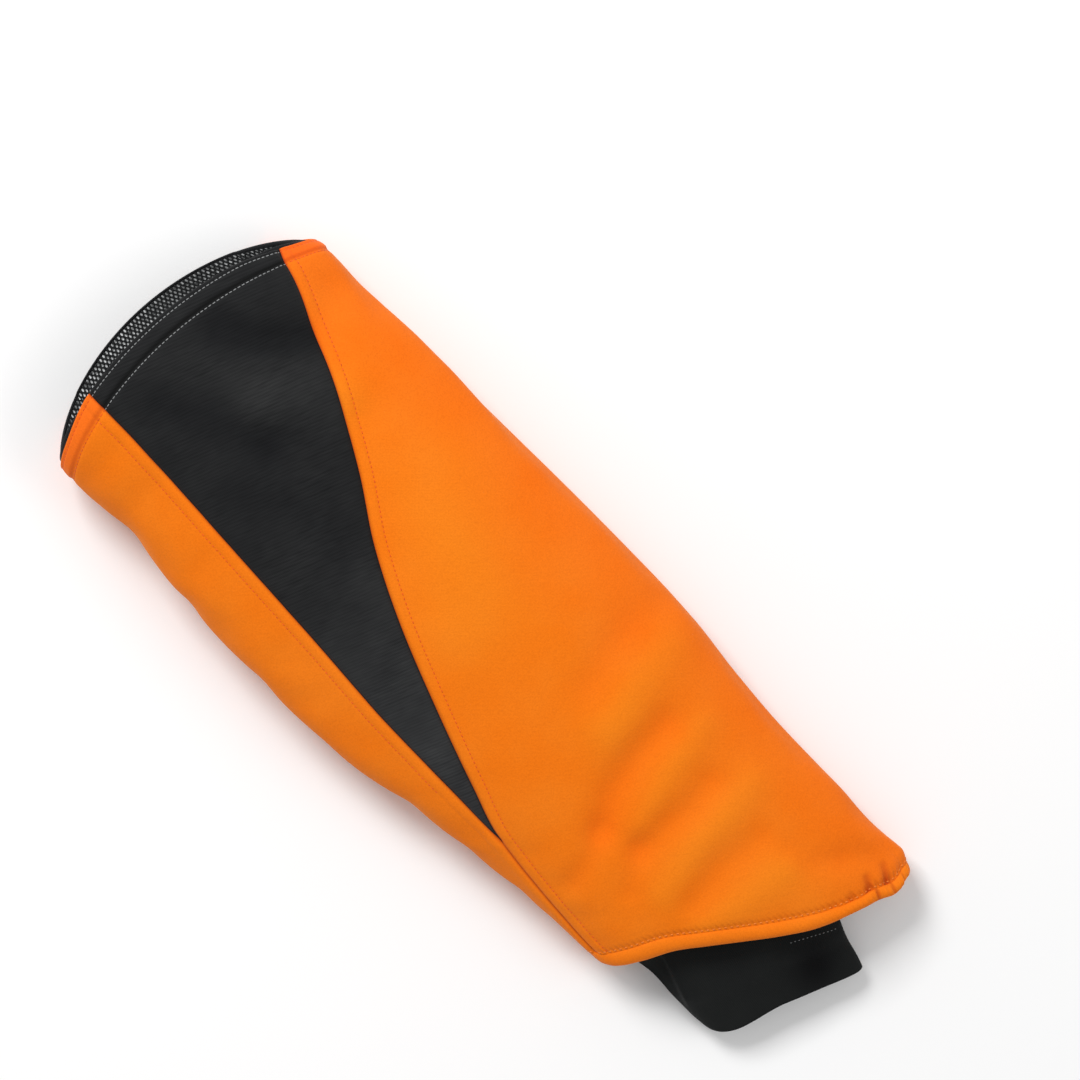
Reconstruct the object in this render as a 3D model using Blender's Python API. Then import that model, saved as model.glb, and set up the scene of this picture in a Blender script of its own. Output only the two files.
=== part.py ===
# Cut resistant sleeve: a padded work sleeve lying on its flat underside.
# Metres, +Z up. X runs from the wide mouth to the wrist, Y across, and the floor is Z = 0.
# The origin is the middle of the underside of the whole sleeve.

import math
from collections import namedtuple

import bmesh
import bpy
import numpy as np
from mathutils import Vector

# Driving dimensions
SLEEVE_LENGTH = 0.484      # mouth corner to wrist corner along the long side
BODY_WIDTH = 0.184         # flat width at the mouth
BODY_HEIGHT = 0.064        # height where the sleeve is fullest
MOUTH_BULGE_TOP = 0.0235   # how far the upper rim of the mouth bows out
MOUTH_BULGE_UNDER = 0.030  # how far the lower rim bows out
MOUTH_SLANT = 0.0102       # how much further out the left corner of the mouth lies
SHELL_WALL = 0.0015        # outer fabric
LINING_WALL = 0.0058       # padding with its mesh face
WALL_CLEARANCE = 0.0004    # between the outer fabric and the padding
SEAM_CLEARANCE = 0.0004    # between two panels at their seam
BINDING_WIDTH = 0.0026     # tape that closes the mouth
BINDING_SWELL = 0.0004     # how far the tape stands proud of the fabric
HEM_WIDTH = 0.0085         # rolled hem at the wrist
HEM_SWELL = 0.0012         # how far the hem stands proud of the fabric
CUFF_WIDTH = 0.097         # flat width of the knit cuff at its open end
CUFF_HEIGHT = 0.020        # its height there
CUFF_REACH = 0.033         # how far its open end lies past the middle of the wrist rim
CUFF_LENGTH = 0.050        # from its open end back to where it widens inside the wrist
CUFF_WALL = 0.0020         # doubled knit
CUFF_ANGLE = math.radians(-24)
CUFF_ACROSS_SHARE = -0.237 # sideways place of its open end, as a share of half BODY_WIDTH
CUFF_SKIRT = 0.045         # hidden stretch from the rim in to the seam with the lining
CUFF_CLEARANCE = 0.0004
HEM_CLEARANCE = 0.0008     # between the hem and what it closes

# Shape of one cross-section
WIDEST_SHARE = 0.44        # height of the widest line, as a share of the height
CROWN_POWER = 2.3          # roundness of the upper half
BASE_POWER = 2.5           # roundness of the lower half
FLATTENING = 0.08          # how far the underside is pressed flat, as a share of the height
SIDE_SEAM_SHARE = 0.36     # height of the side seam, as a share of the height
HOLLOW_SHARE = 0.52        # height inside the hollow that a panel's cut stays above
MOUTH_POWER = 0.77         # how full the bow of the mouth's rim is
CUFF_POWER = 2.2           # roundness of the cuff
FOLD_FADE = 0.30           # folds fade out towards the sides

# Sections: along is a share of SLEEVE_LENGTH, left and right of half BODY_WIDTH,
# height of BODY_HEIGHT.
Section = namedtuple("Section", "along left right height")
SECTIONS = (
    Section(-0.10, -0.97, 0.96, 1.00),
    Section(0.00, -0.98, 0.99, 1.04),
    Section(0.03, -0.98, 1.03, 1.03),
    Section(0.09, -0.97, 1.01, 1.00),
    Section(0.20, -1.03, 1.04, 1.00),
    Section(0.32, -1.05, 1.05, 0.99),
    Section(0.43, -1.04, 1.055, 0.97),
    Section(0.54, -0.97, 1.04, 0.93),
    Section(0.62, -0.91, 1.01, 0.89),
    Section(0.70, -0.875, 0.955, 0.84),
    Section(0.78, -0.855, 0.93, 0.79),
    Section(0.86, -0.845, 0.92, 0.74),
    Section(0.94, -0.85, 0.90, 0.69),
    Section(0.98, -0.85, 0.87, 0.66),
    Section(1.00, -0.85, 0.80, 0.64),
    Section(1.10, -0.85, 0.70, 0.62),
)

# The slanted wrist rim: across is a share of the half width there, along of SLEEVE_LENGTH.
RimPoint = namedtuple("RimPoint", "across along")
WRIST_RIM = (
    RimPoint(-1.00, 0.820),
    RimPoint(-0.95, 0.830),
    RimPoint(-0.80, 0.846),
    RimPoint(-0.60, 0.866),
    RimPoint(-0.40, 0.892),
    RimPoint(-0.20, 0.919),
    RimPoint(0.00, 0.945),
    RimPoint(0.20, 0.968),
    RimPoint(0.45, 0.986),
    RimPoint(0.70, 0.998),
    RimPoint(0.85, 1.006),
    RimPoint(1.00, 1.002),
)

# Seams drawn on the sleeve seen from above: along is a share of SLEEVE_LENGTH,
# across of half BODY_WIDTH.
SeamPoint = namedtuple("SeamPoint", "along across")
MAIN_SEAM = (
    SeamPoint(-0.10, 0.94),
    SeamPoint(-0.01, 0.825),
    SeamPoint(0.03, 0.765),
    SeamPoint(0.08, 0.65),
    SeamPoint(0.14, 0.50),
    SeamPoint(0.23, 0.235),
    SeamPoint(0.30, -0.01),
    SeamPoint(0.38, -0.225),
    SeamPoint(0.48, -0.44),
    SeamPoint(0.57, -0.615),
    SeamPoint(0.64, -0.735),
    SeamPoint(0.72, -0.79),
    SeamPoint(0.80, -0.825),
    SeamPoint(1.10, -0.855),
)
UNDER_SEAM = (
    SeamPoint(-0.10, -0.54),
    SeamPoint(0.00, -0.55),
    SeamPoint(0.17, -0.60),
    SeamPoint(0.34, -0.66),
    SeamPoint(0.45, -0.705),
    SeamPoint(0.57, -0.73),
    SeamPoint(0.64, -0.747),
)
WEDGE_TIP = 0.63           # where the wedge ends, as a share of SLEEVE_LENGTH

# Folds on the upper side: ends as shares of SLEEVE_LENGTH and half BODY_WIDTH, half width
# of SLEEVE_LENGTH, depth of BODY_HEIGHT. A negative depth is a ridge.
Fold = namedtuple("Fold", "along_a across_a along_b across_b breadth depth")
FOLDS = (
    Fold(0.676, 0.38, 0.722, -0.55, 0.022, 0.060),
    Fold(0.745, 0.36, 0.762, -0.36, 0.020, 0.052),
    Fold(0.838, 0.30, 0.838, -0.20, 0.018, 0.040),
    Fold(0.568, 0.66, 0.578, 0.34, 0.026, 0.028),
    Fold(0.620, 0.80, 0.625, 0.25, 0.026, -0.030),
    Fold(0.712, 0.60, 0.735, -0.10, 0.018, -0.030),
    Fold(0.798, 0.60, 0.800, -0.30, 0.022, -0.030),
    Fold(0.010, 0.28, 0.080, 0.56, 0.026, 0.036),
    Fold(0.020, -0.22, 0.130, -0.02, 0.030, 0.030),
    Fold(0.300, 0.60, 0.420, 0.05, 0.060, -0.020),
)

# Gathers where the hem's elastic draws the fabric in: around is degrees from the right edge
# up over the top, spread in degrees, reach a share of SLEEVE_LENGTH, depth of BODY_HEIGHT.
Gather = namedtuple("Gather", "around spread reach depth")
GATHERS = (
    Gather(22.0, 5.5, 0.045, 0.050),
    Gather(37.0, 5.5, 0.055, 0.065),
    Gather(51.0, 5.5, 0.040, 0.045),
    Gather(64.0, 6.0, 0.030, 0.022),
)

# Columns of the wall round the sleeve: stretch from the last row's angle, and its steps.
Arc = namedtuple("Arc", "to_degrees steps")
ARCS = (
    Arc(16, 3),
    Arc(68, 11),
    Arc(130, 5),
    Arc(182, 7),
    Arc(225, 4),
    Arc(315, 4),
    Arc(360, 4),
)
# Rows of the wall from the mouth to the hem, as shares of that stretch.
ROWS = (
    0.0, 0.025, 0.06, 0.11, 0.17, 0.24, 0.32, 0.40, 0.48, 0.55, 0.61, 0.655,
    0.69, 0.72, 0.75, 0.78, 0.81, 0.84, 0.875, 0.91, 0.945, 0.975, 1.0,
)

# Bands that close the ends of the wall: inward is a share of the band's width from the edge,
# outer and inner are depths as shares of the wall, and swell a share of the band's swell.
BandRow = namedtuple("BandRow", "inward outer inner swell")
BINDING_ROWS = (
    BandRow(1.00, 0.00, 1.00, 1.0),
    BandRow(0.35, 0.00, 1.00, 1.0),
    BandRow(0.00, 0.25, 0.75, 0.0),
)
HEM_ROWS = (
    BandRow(1.00, 0.00, 1.00, 0.0),
    BandRow(0.72, 0.00, 1.00, 0.8),
    BandRow(0.38, 0.00, 1.00, 1.0),
    BandRow(0.10, 0.10, 0.90, 0.0),
    BandRow(0.00, 0.38, 0.62, 0.0),
)

# Blocks that cut the panels: how many stations, and how far they reach past the wall
CUTTER_STATIONS = 34
CUTTER_REACH = 0.03

# Padding thickness at its ends, as a share of LINING_WALL, and the distance of the taper
LINING_EDGE_SHARE = 0.40
LINING_TAPER = 0.026

# The cuff, seen along its own axis: out is the distance from its open end as a share of
# CUFF_LENGTH, left and right shares of half CUFF_WIDTH, height of CUFF_HEIGHT, and lift the
# share of the rise up to the inside of the wrist.
CuffRing = namedtuple("CuffRing", "out left right height lift")
CUFF_RINGS = (
    CuffRing(0.00, -1.00, 1.00, 1.00, 0.00),
    CuffRing(0.12, -1.06, 0.99, 1.05, 0.02),
    CuffRing(0.30, -1.13, 0.97, 1.10, 0.25),
    CuffRing(0.52, -1.20, 0.95, 1.12, 0.80),
    CuffRing(0.75, -1.27, 0.94, 1.12, 1.00),
    CuffRing(1.00, -1.33, 0.94, 1.12, 1.00),
)
CUFF_CORNER = 0.010        # rounding of the open end's left corner
CORNER_POWER = 8           # how short that rounding is
CUFF_ROOM = 0.0030         # how far the skirt stays under folds in the padding above it

# Colours: red, green, blue, roughness
ORANGE = (0.90, 0.19, 0.012, 0.72)
TWILL_BLACK = (0.016, 0.017, 0.019, 0.85)
MESH_GREY = (0.10, 0.11, 0.11, 0.90)
TAPE_BLACK = (0.010, 0.010, 0.011, 0.80)
KNIT_BLACK = (0.008, 0.009, 0.009, 0.92)


def smooth_curve(rows):
    """A curve through (position, value) rows that doesn't overshoot them."""
    xs = np.array([row[0] for row in rows], float)
    ys = np.array([row[1] for row in rows], float)
    steps = np.diff(xs)
    slopes = np.diff(ys) / steps
    tangents = np.zeros(len(xs))
    tangents[0] = slopes[0]
    tangents[-1] = slopes[-1]
    for i in range(1, len(xs) - 1):
        if slopes[i - 1] * slopes[i] > 0:
            first = 2 * steps[i] + steps[i - 1]
            second = steps[i] + 2 * steps[i - 1]
            tangents[i] = (first + second) / (first / slopes[i - 1] + second / slopes[i])

    def value(position):
        position = np.clip(np.asarray(position, float), xs[0], xs[-1])
        index = np.clip(np.searchsorted(xs, position) - 1, 0, len(steps) - 1)
        step = steps[index]
        t = (position - xs[index]) / step
        return (
            (1 + 2 * t) * (1 - t) ** 2 * ys[index]
            + t * (1 - t) ** 2 * step * tangents[index]
            + t * t * (3 - 2 * t) * ys[index + 1]
            + t * t * (t - 1) * step * tangents[index + 1]
        )

    return value


half_width = BODY_WIDTH / 2
left_edge = smooth_curve([(s.along * SLEEVE_LENGTH, s.left * half_width) for s in SECTIONS])
right_edge = smooth_curve([(s.along * SLEEVE_LENGTH, s.right * half_width) for s in SECTIONS])
height_at = smooth_curve([(s.along * SLEEVE_LENGTH, s.height * BODY_HEIGHT) for s in SECTIONS])
wrist_rim = smooth_curve([(p.across, p.along * SLEEVE_LENGTH) for p in WRIST_RIM])
main_seam = smooth_curve([(p.along * SLEEVE_LENGTH, p.across * half_width) for p in MAIN_SEAM])
under_seam = smooth_curve([(p.along * SLEEVE_LENGTH, p.across * half_width) for p in UNDER_SEAM])


def signed_power(value, power):
    return np.sign(value) * np.abs(value) ** power


def across_share(angle):
    """Place across the section from -1 at the left edge to 1 at the right."""
    power = np.where(np.sin(angle) >= 0, CROWN_POWER, BASE_POWER)
    return signed_power(np.cos(angle), 2 / power)


def mouth_rim(angle):
    across = across_share(angle)
    corner = MOUTH_SLANT / 2 * across
    bulge = np.where(np.sin(angle) >= 0, MOUTH_BULGE_TOP, MOUTH_BULGE_UNDER)
    return corner - bulge * (1 - across**2) ** MOUTH_POWER


def fold_depth(x, y, angle):
    """How far the folds push the upper side in."""
    depth = np.zeros(np.broadcast(x, y, angle).shape)
    for fold in FOLDS:
        start = np.array((fold.along_a * SLEEVE_LENGTH, fold.across_a * half_width))
        end = np.array((fold.along_b * SLEEVE_LENGTH, fold.across_b * half_width))
        run = end - start
        share = ((x - start[0]) * run[0] + (y - start[1]) * run[1]) / (run @ run)
        share = np.clip(share, 0, 1)
        away = np.hypot(x - start[0] - share * run[0], y - start[1] - share * run[1])
        breadth = fold.breadth * SLEEVE_LENGTH
        depth = depth + fold.depth * BODY_HEIGHT * np.exp(-((away / breadth) ** 2))
    fade = np.clip(np.sin(angle) / FOLD_FADE, 0, 1)
    return depth * fade * fade * (3 - 2 * fade)


def gather_depth(distance, angle):
    """How far the elastic draws the fabric in at a distance from the wrist rim."""
    depth = np.zeros(np.broadcast(distance, angle).shape)
    for gather in GATHERS:
        turn = (np.degrees(angle) - gather.around) / gather.spread
        reach = gather.reach * SLEEVE_LENGTH
        depth = depth + gather.depth * BODY_HEIGHT * np.exp(-(turn**2)) * np.exp(-((distance / reach) ** 2))
    return depth


def smooth_wall(along, angle):
    """The wall without folds, at a share of the way from the mouth rim to the wrist rim."""
    across = across_share(angle)
    mouth = mouth_rim(angle)
    x = mouth + (wrist_rim(across) - mouth) * along
    left = left_edge(x)
    right = right_edge(x)
    height = height_at(x)
    widest = WIDEST_SHARE * height
    sine = np.sin(angle)
    upper = widest + (height - widest) * np.abs(sine) ** (2 / CROWN_POWER)
    lower = widest - (widest + FLATTENING * height) * np.abs(sine) ** (2 / BASE_POWER)
    y = (left + right) / 2 + (right - left) / 2 * across
    z = np.where(sine >= 0, upper, np.maximum(lower, 0))
    return np.stack(np.broadcast_arrays(x, y, z), axis=-1)


def wall_point(along, angle, depth):
    """A point at a depth under the folded outer surface, and never below the floor."""
    nudge_along = 1 / 500
    nudge_angle = math.radians(1)
    point = smooth_wall(along, angle)
    forward = smooth_wall(along + nudge_along, angle) - smooth_wall(along - nudge_along, angle)
    around = smooth_wall(along, angle + nudge_angle) - smooth_wall(along, angle - nudge_angle)
    outward = np.cross(around, forward)
    outward = outward / np.linalg.norm(outward, axis=-1, keepdims=True)
    run = wrist_rim(across_share(angle)) - mouth_rim(angle)
    depth = np.asarray(depth, float)
    softened = np.clip(1 - (depth - SHELL_WALL - WALL_CLEARANCE) / LINING_WALL, 0, 1)
    pushed = fold_depth(point[..., 0], point[..., 1], angle)
    pushed = pushed + gather_depth((1 - along) * run, angle) * softened
    point = point - outward * (depth + pushed)[..., None]
    point[..., 2] = np.maximum(point[..., 2], 0)
    return point


def column_angles():
    angles = []
    start = 0.0
    for arc in ARCS:
        for step in range(arc.steps):
            angles.append(start + (arc.to_degrees - start) * step / arc.steps)
        start = arc.to_degrees
    return np.radians(angles)


ANGLES = column_angles()
RUN = wrist_rim(across_share(ANGLES)) - mouth_rim(ANGLES)


def share_from_mouth(distance):
    return distance / RUN


def share_from_wrist(distance):
    return 1 - distance / RUN


def lining_thickness(along):
    """Padding, pressed thin towards the seams at both ends."""
    edge = np.minimum(along, 1 - along) * RUN
    share = np.clip(edge / LINING_TAPER, 0, 1)
    share = share * share * (3 - 2 * share)
    return LINING_WALL * (LINING_EDGE_SHARE + (1 - LINING_EDGE_SHARE) * share)


def new_material(name, colour):
    material = bpy.data.materials.new(name)
    material.use_nodes = True
    shader = material.node_tree.nodes["Principled BSDF"]
    shader.inputs["Base Color"].default_value = (*colour[:3], 1)
    shader.inputs["Roughness"].default_value = colour[3]
    shader.inputs["Metallic"].default_value = 0
    material.diffuse_color = (*colour[:3], 1)
    return material


def clear_scene():
    for obj in list(bpy.data.objects):
        bpy.data.objects.remove(obj, do_unlink=True)


def new_collection(name):
    collection = bpy.data.collections.new(name)
    bpy.context.scene.collection.children.link(collection)
    return collection


def add_object(name, shape, collection):
    mesh = bpy.data.meshes.new(name)
    shape.to_mesh(mesh)
    shape.free()
    mesh.shade_smooth()
    obj = bpy.data.objects.new(name, mesh)
    collection.objects.link(obj)
    return obj


def loft_tube(name, outer, inner, collection):
    """A closed tube wall skinned over outer and inner rings, split along matching diagonals."""
    shape = bmesh.new()
    skins = [[[shape.verts.new(point) for point in ring] for ring in rings] for rings in (outer, inner)]
    for skin in skins:
        for near, far in zip(skin, skin[1:]):
            for i in range(len(near)):
                j = (i + 1) % len(near)
                shape.faces.new((near[i], near[j], far[j]))
                shape.faces.new((near[i], far[j], far[i]))
    for end in (0, -1):
        rim = skins[0][end]
        lip = skins[1][end]
        for i in range(len(rim)):
            j = (i + 1) % len(rim)
            shape.faces.new((rim[i], rim[j], lip[j], lip[i]))
    bmesh.ops.recalc_face_normals(shape, faces=shape.faces)
    return add_object(name, shape, collection)


def wall_rings(depth_at):
    """Rings from the binding to the hem at a depth that depends on the place along."""
    start = share_from_mouth(BINDING_WIDTH + SEAM_CLEARANCE)
    end = share_from_wrist(HEM_WIDTH + HEM_CLEARANCE)
    return [
        wall_point(start + (end - start) * row, ANGLES, depth_at(start + (end - start) * row))
        for row in ROWS
    ]


def wall_tube(name, outer, inner, collection):
    """A closed tube wall between an outer and an inner depth."""
    return loft_tube(name, wall_rings(outer), wall_rings(inner), collection)


def panel_cutter(name, left, right, start, end, collection):
    """A block over a panel seen from above, down to the side seam or into the hollow."""
    top = BODY_HEIGHT + CUTTER_REACH
    shape = bmesh.new()
    rings = []
    for x in np.linspace(start, end, CUTTER_STATIONS):
        height = float(height_at(x))
        y_left = float(left(x))
        y_right = float(right(x))
        corners = (
            (x, y_left, HOLLOW_SHARE * height),
            (x, y_right, SIDE_SEAM_SHARE * height),
            (x, y_right, top),
            (x, y_left, top),
        )
        rings.append([shape.verts.new(corner) for corner in corners])
    for near, far in zip(rings, rings[1:]):
        for i in range(4):
            shape.faces.new((near[i], near[i - 3], far[i - 3], far[i]))
    shape.faces.new(rings[0])
    shape.faces.new(rings[-1])
    bmesh.ops.recalc_face_normals(shape, faces=shape.faces)
    obj = add_object(name, shape, collection)
    obj.hide_render = True
    obj.display_type = "WIRE"
    return obj


def add_boolean(obj, operation, cutter):
    modifier = obj.modifiers.new(operation.title() + " " + cutter.name, "BOOLEAN")
    modifier.operation = operation
    modifier.solver = "EXACT"
    modifier.object = cutter


def make_panels(parts, cutters):
    """The three outer panels, cut from one tube of fabric along the seams."""
    half_gap = SEAM_CLEARANCE / 2
    before = -MOUTH_BULGE_UNDER - CUTTER_REACH
    after = SLEEVE_LENGTH + CUTTER_REACH
    tip = WEDGE_TIP * SLEEVE_LENGTH

    def far_side(x):
        return right_edge(x) + CUTTER_REACH / 2

    def shifted(curve, shift):
        return lambda x: curve(x) + shift

    main_cut = panel_cutter("main_cut", shifted(main_seam, half_gap), far_side, before, after, cutters)
    main_clear = panel_cutter("main_clear", shifted(main_seam, -half_gap), far_side, before, after, cutters)
    main_clear.location.z = -SEAM_CLEARANCE
    wedge_cut = panel_cutter(
        "wedge_cut", shifted(under_seam, half_gap), shifted(main_seam, -half_gap), before, tip, cutters
    )
    inside_main = shifted(main_seam, SHELL_WALL)
    wedge_clear = panel_cutter(
        "wedge_clear", shifted(under_seam, -half_gap), inside_main, before, tip + SEAM_CLEARANCE, cutters
    )
    wedge_clear.location.z = -SEAM_CLEARANCE

    def shell(name):
        return wall_tube(name, lambda along: 0 * RUN, lambda along: SHELL_WALL + 0 * RUN, parts)

    main = shell("main_panel")
    add_boolean(main, "INTERSECT", main_cut)
    main.data.materials.append(new_material("orange softshell", ORANGE))

    wedge = shell("wedge_panel")
    add_boolean(wedge, "INTERSECT", wedge_cut)
    wedge.data.materials.append(new_material("black twill", TWILL_BLACK))

    under = shell("under_panel")
    add_boolean(under, "DIFFERENCE", main_clear)
    add_boolean(under, "DIFFERENCE", wedge_clear)
    under.data.materials.append(main.data.materials[0])


def make_lining(parts):
    start = SHELL_WALL + WALL_CLEARANCE
    lining = wall_tube(
        "mesh_lining",
        lambda along: start + 0 * RUN,
        lambda along: start + lining_thickness(along),
        parts,
    )
    lining.data.materials.append(new_material("mesh lining", MESH_GREY))


def full_depth(along):
    return SHELL_WALL + WALL_CLEARANCE + lining_thickness(along)


def edge_band(name, rows, width, swell, share_from_edge, parts):
    """A band that closes the wall at one end."""
    edge = full_depth(share_from_edge(width))
    outer = []
    inner = []
    for row in rows:
        along = share_from_edge(row.inward * width)
        outer.append(wall_point(along, ANGLES, row.outer * edge - row.swell * swell))
        inner.append(wall_point(along, ANGLES, row.inner * edge))
    return loft_tube(name, outer, inner, parts)


def make_mouth_binding(parts):
    binding = edge_band(
        "mouth_binding", BINDING_ROWS, BINDING_WIDTH, BINDING_SWELL, share_from_mouth, parts
    )
    binding.data.materials.append(new_material("black tape", TAPE_BLACK))


def make_wrist_hem(parts):
    hem = edge_band("wrist_hem", HEM_ROWS, HEM_WIDTH, HEM_SWELL, share_from_wrist, parts)
    hem.data.materials.append(bpy.data.materials["orange softshell"])


def cuff_surface(depth):
    """Rings of the cuff from its open end in to its seam with the lining."""
    axis = np.array((math.cos(CUFF_ANGLE), math.sin(CUFF_ANGLE)))
    side = np.array((-axis[1], axis[0]))
    rim_middle = float(wrist_rim(0.0))
    end = np.array((rim_middle + CUFF_REACH, CUFF_ACROSS_SHARE * half_width))
    seat = SHELL_WALL + WALL_CLEARANCE + LINING_WALL + CUFF_CLEARANCE
    across = np.cos(ANGLES)
    rings = []
    for ring in CUFF_RINGS:
        left = ring.left * CUFF_WIDTH / 2 + depth
        right = ring.right * CUFF_WIDTH / 2 - depth
        sideways = (left + right) / 2 + (right - left) / 2 * signed_power(across, 2 / CUFF_POWER)
        corner = CUFF_CORNER * np.clip(-across, 0, 1) ** CORNER_POWER * (1 - ring.out)
        back = ring.out * CUFF_LENGTH + corner
        floor = ring.lift * seat
        height = ring.height * CUFF_HEIGHT
        middle = floor + height / 2
        z = middle + (height / 2 - depth) * signed_power(np.sin(ANGLES), 2 / CUFF_POWER)
        plan = end[None, :] - back[:, None] * axis + sideways[:, None] * side
        rings.append(np.column_stack((plan, z)))
    room = CUFF_ROOM * np.clip(np.sin(ANGLES), 0, 1)
    seam = wall_point(share_from_wrist(CUFF_SKIRT), ANGLES, seat + depth + room)
    rings.append((rings[-1] + seam) / 2)
    rings.append(seam)
    return rings


def make_knit_cuff(parts):
    cuff = loft_tube("knit_cuff", cuff_surface(0), cuff_surface(CUFF_WALL), parts)
    cuff.data.materials.append(new_material("black knit", KNIT_BLACK))


def centre_on_floor(collections):
    """Moves everything so that the origin is the middle of the underside."""
    bpy.context.view_layer.update()
    graph = bpy.context.evaluated_depsgraph_get()
    corners = []
    for obj in collections[0].objects:
        evaluated = obj.evaluated_get(graph)
        corners += [evaluated.matrix_world @ Vector(corner) for corner in evaluated.bound_box]
    low = Vector([min(corner[i] for corner in corners) for i in range(3)])
    high = Vector([max(corner[i] for corner in corners) for i in range(3)])
    shift = Vector(((low.x + high.x) / 2, (low.y + high.y) / 2, low.z))
    for collection in collections:
        for obj in collection.objects:
            obj.location -= shift
    print("moved by", [round(-value, 6) for value in shift])


def main():
    clear_scene()
    parts = new_collection("cut resistant sleeve")
    cutters = new_collection("cutters")
    make_panels(parts, cutters)
    make_lining(parts)
    make_mouth_binding(parts)
    make_wrist_hem(parts)
    make_knit_cuff(parts)
    centre_on_floor((parts, cutters))


main()
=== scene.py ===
# Cut resistant sleeve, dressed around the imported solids.
# The wall of the sleeve is one rule: a place is a share of the way from the mouth to the wrist
# and an angle round the section, from the longer wrist side (0) over the top (90).
import math

import bpy
import numpy as np
from mathutils import Matrix, Vector
from mathutils.bvhtree import BVHTree


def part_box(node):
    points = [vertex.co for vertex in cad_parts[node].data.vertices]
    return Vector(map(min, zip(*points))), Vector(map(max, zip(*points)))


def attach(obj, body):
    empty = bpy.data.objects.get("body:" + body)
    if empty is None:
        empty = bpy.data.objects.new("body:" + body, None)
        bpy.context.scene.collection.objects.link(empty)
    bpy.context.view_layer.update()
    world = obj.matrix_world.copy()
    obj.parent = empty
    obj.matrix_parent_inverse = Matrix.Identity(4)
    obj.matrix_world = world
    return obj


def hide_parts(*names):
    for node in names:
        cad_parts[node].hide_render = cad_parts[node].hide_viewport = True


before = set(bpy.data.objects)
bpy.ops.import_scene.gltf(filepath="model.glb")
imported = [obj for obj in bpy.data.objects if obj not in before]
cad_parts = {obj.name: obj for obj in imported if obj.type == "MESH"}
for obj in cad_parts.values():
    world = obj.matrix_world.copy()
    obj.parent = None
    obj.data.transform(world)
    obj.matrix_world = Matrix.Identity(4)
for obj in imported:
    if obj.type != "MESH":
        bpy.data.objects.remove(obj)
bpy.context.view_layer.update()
print("frame loaded")

# The same driving sizes as the solids, in metres, and the powers that round the section
form = {
    "length": 0.484,
    "mouthWidth": 0.184,
    "fullHeight": 0.064,
    "mouthBulgeTop": 0.0235,
    "mouthBulgeUnder": 0.0322,
    "solidBulgeUnder": 0.0300,   # that of the solids
    "mouthSlant": 0.0102,
    "shellWall": 0.0015,
    "liningWall": 0.0058,
    "liningEdgeShare": 0.40,
    "liningTaper": 0.026,
    "wallGap": 0.0004,
    "widestShare": 0.44,
    "crownPower": 2.3,
    "basePower": 2.5,
    "flattening": 0.08,
    "mouthPower": 0.77,
    "foldFade": 0.30,
    "sideSeamAngle": math.radians(-5),
}
# along as a share of length; left and right of half mouthWidth; height of fullHeight
sections = (
    (-0.10, -0.97, 0.96, 1.00),
    (0.00, -0.98, 0.99, 1.04),
    (0.03, -0.98, 1.03, 1.03),
    (0.09, -0.97, 1.01, 1.00),
    (0.20, -1.03, 1.04, 1.00),
    (0.32, -1.05, 1.05, 0.99),
    (0.43, -1.04, 1.055, 0.97),
    (0.54, -0.97, 1.050, 0.93),
    (0.62, -0.91, 1.032, 0.89),
    (0.70, -0.875, 0.982, 0.84),
    (0.78, -0.855, 0.948, 0.79),
    (0.86, -0.845, 0.936, 0.74),
    (0.94, -0.85, 0.917, 0.69),
    (0.98, -0.85, 0.921, 0.66),
    (1.00, -0.85, 0.876, 0.64),
    (1.10, -0.85, 0.70, 0.62),
)
# wrist rim: across as a share of the half width, along of length
wristRows = (
    (-1.00, 0.830),
    (-0.95, 0.839),
    (-0.80, 0.853),
    (-0.60, 0.869),
    (-0.40, 0.893),
    (-0.20, 0.919),
    (0.00, 0.945),
    (0.20, 0.968),
    (0.45, 0.987),
    (0.70, 1.001),
    (0.85, 1.011),
    (1.00, 1.009),
)
# seams seen from above: along of length, across of half mouthWidth
mainSeamRows = (
    (-0.10, 0.94),
    (-0.01, 0.825),
    (0.03, 0.765),
    (0.08, 0.65),
    (0.14, 0.50),
    (0.23, 0.235),
    (0.30, -0.01),
    (0.38, -0.225),
    (0.48, -0.44),
    (0.57, -0.615),
    (0.64, -0.735),
    (0.72, -0.79),
    (0.80, -0.825),
    (1.10, -0.855),
)
underSeamRows = (
    (-0.10, -0.54),
    (0.00, -0.55),
    (0.17, -0.60),
    (0.34, -0.66),
    (0.45, -0.705),
    (0.57, -0.726),
    (0.64, -0.738),
)
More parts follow.
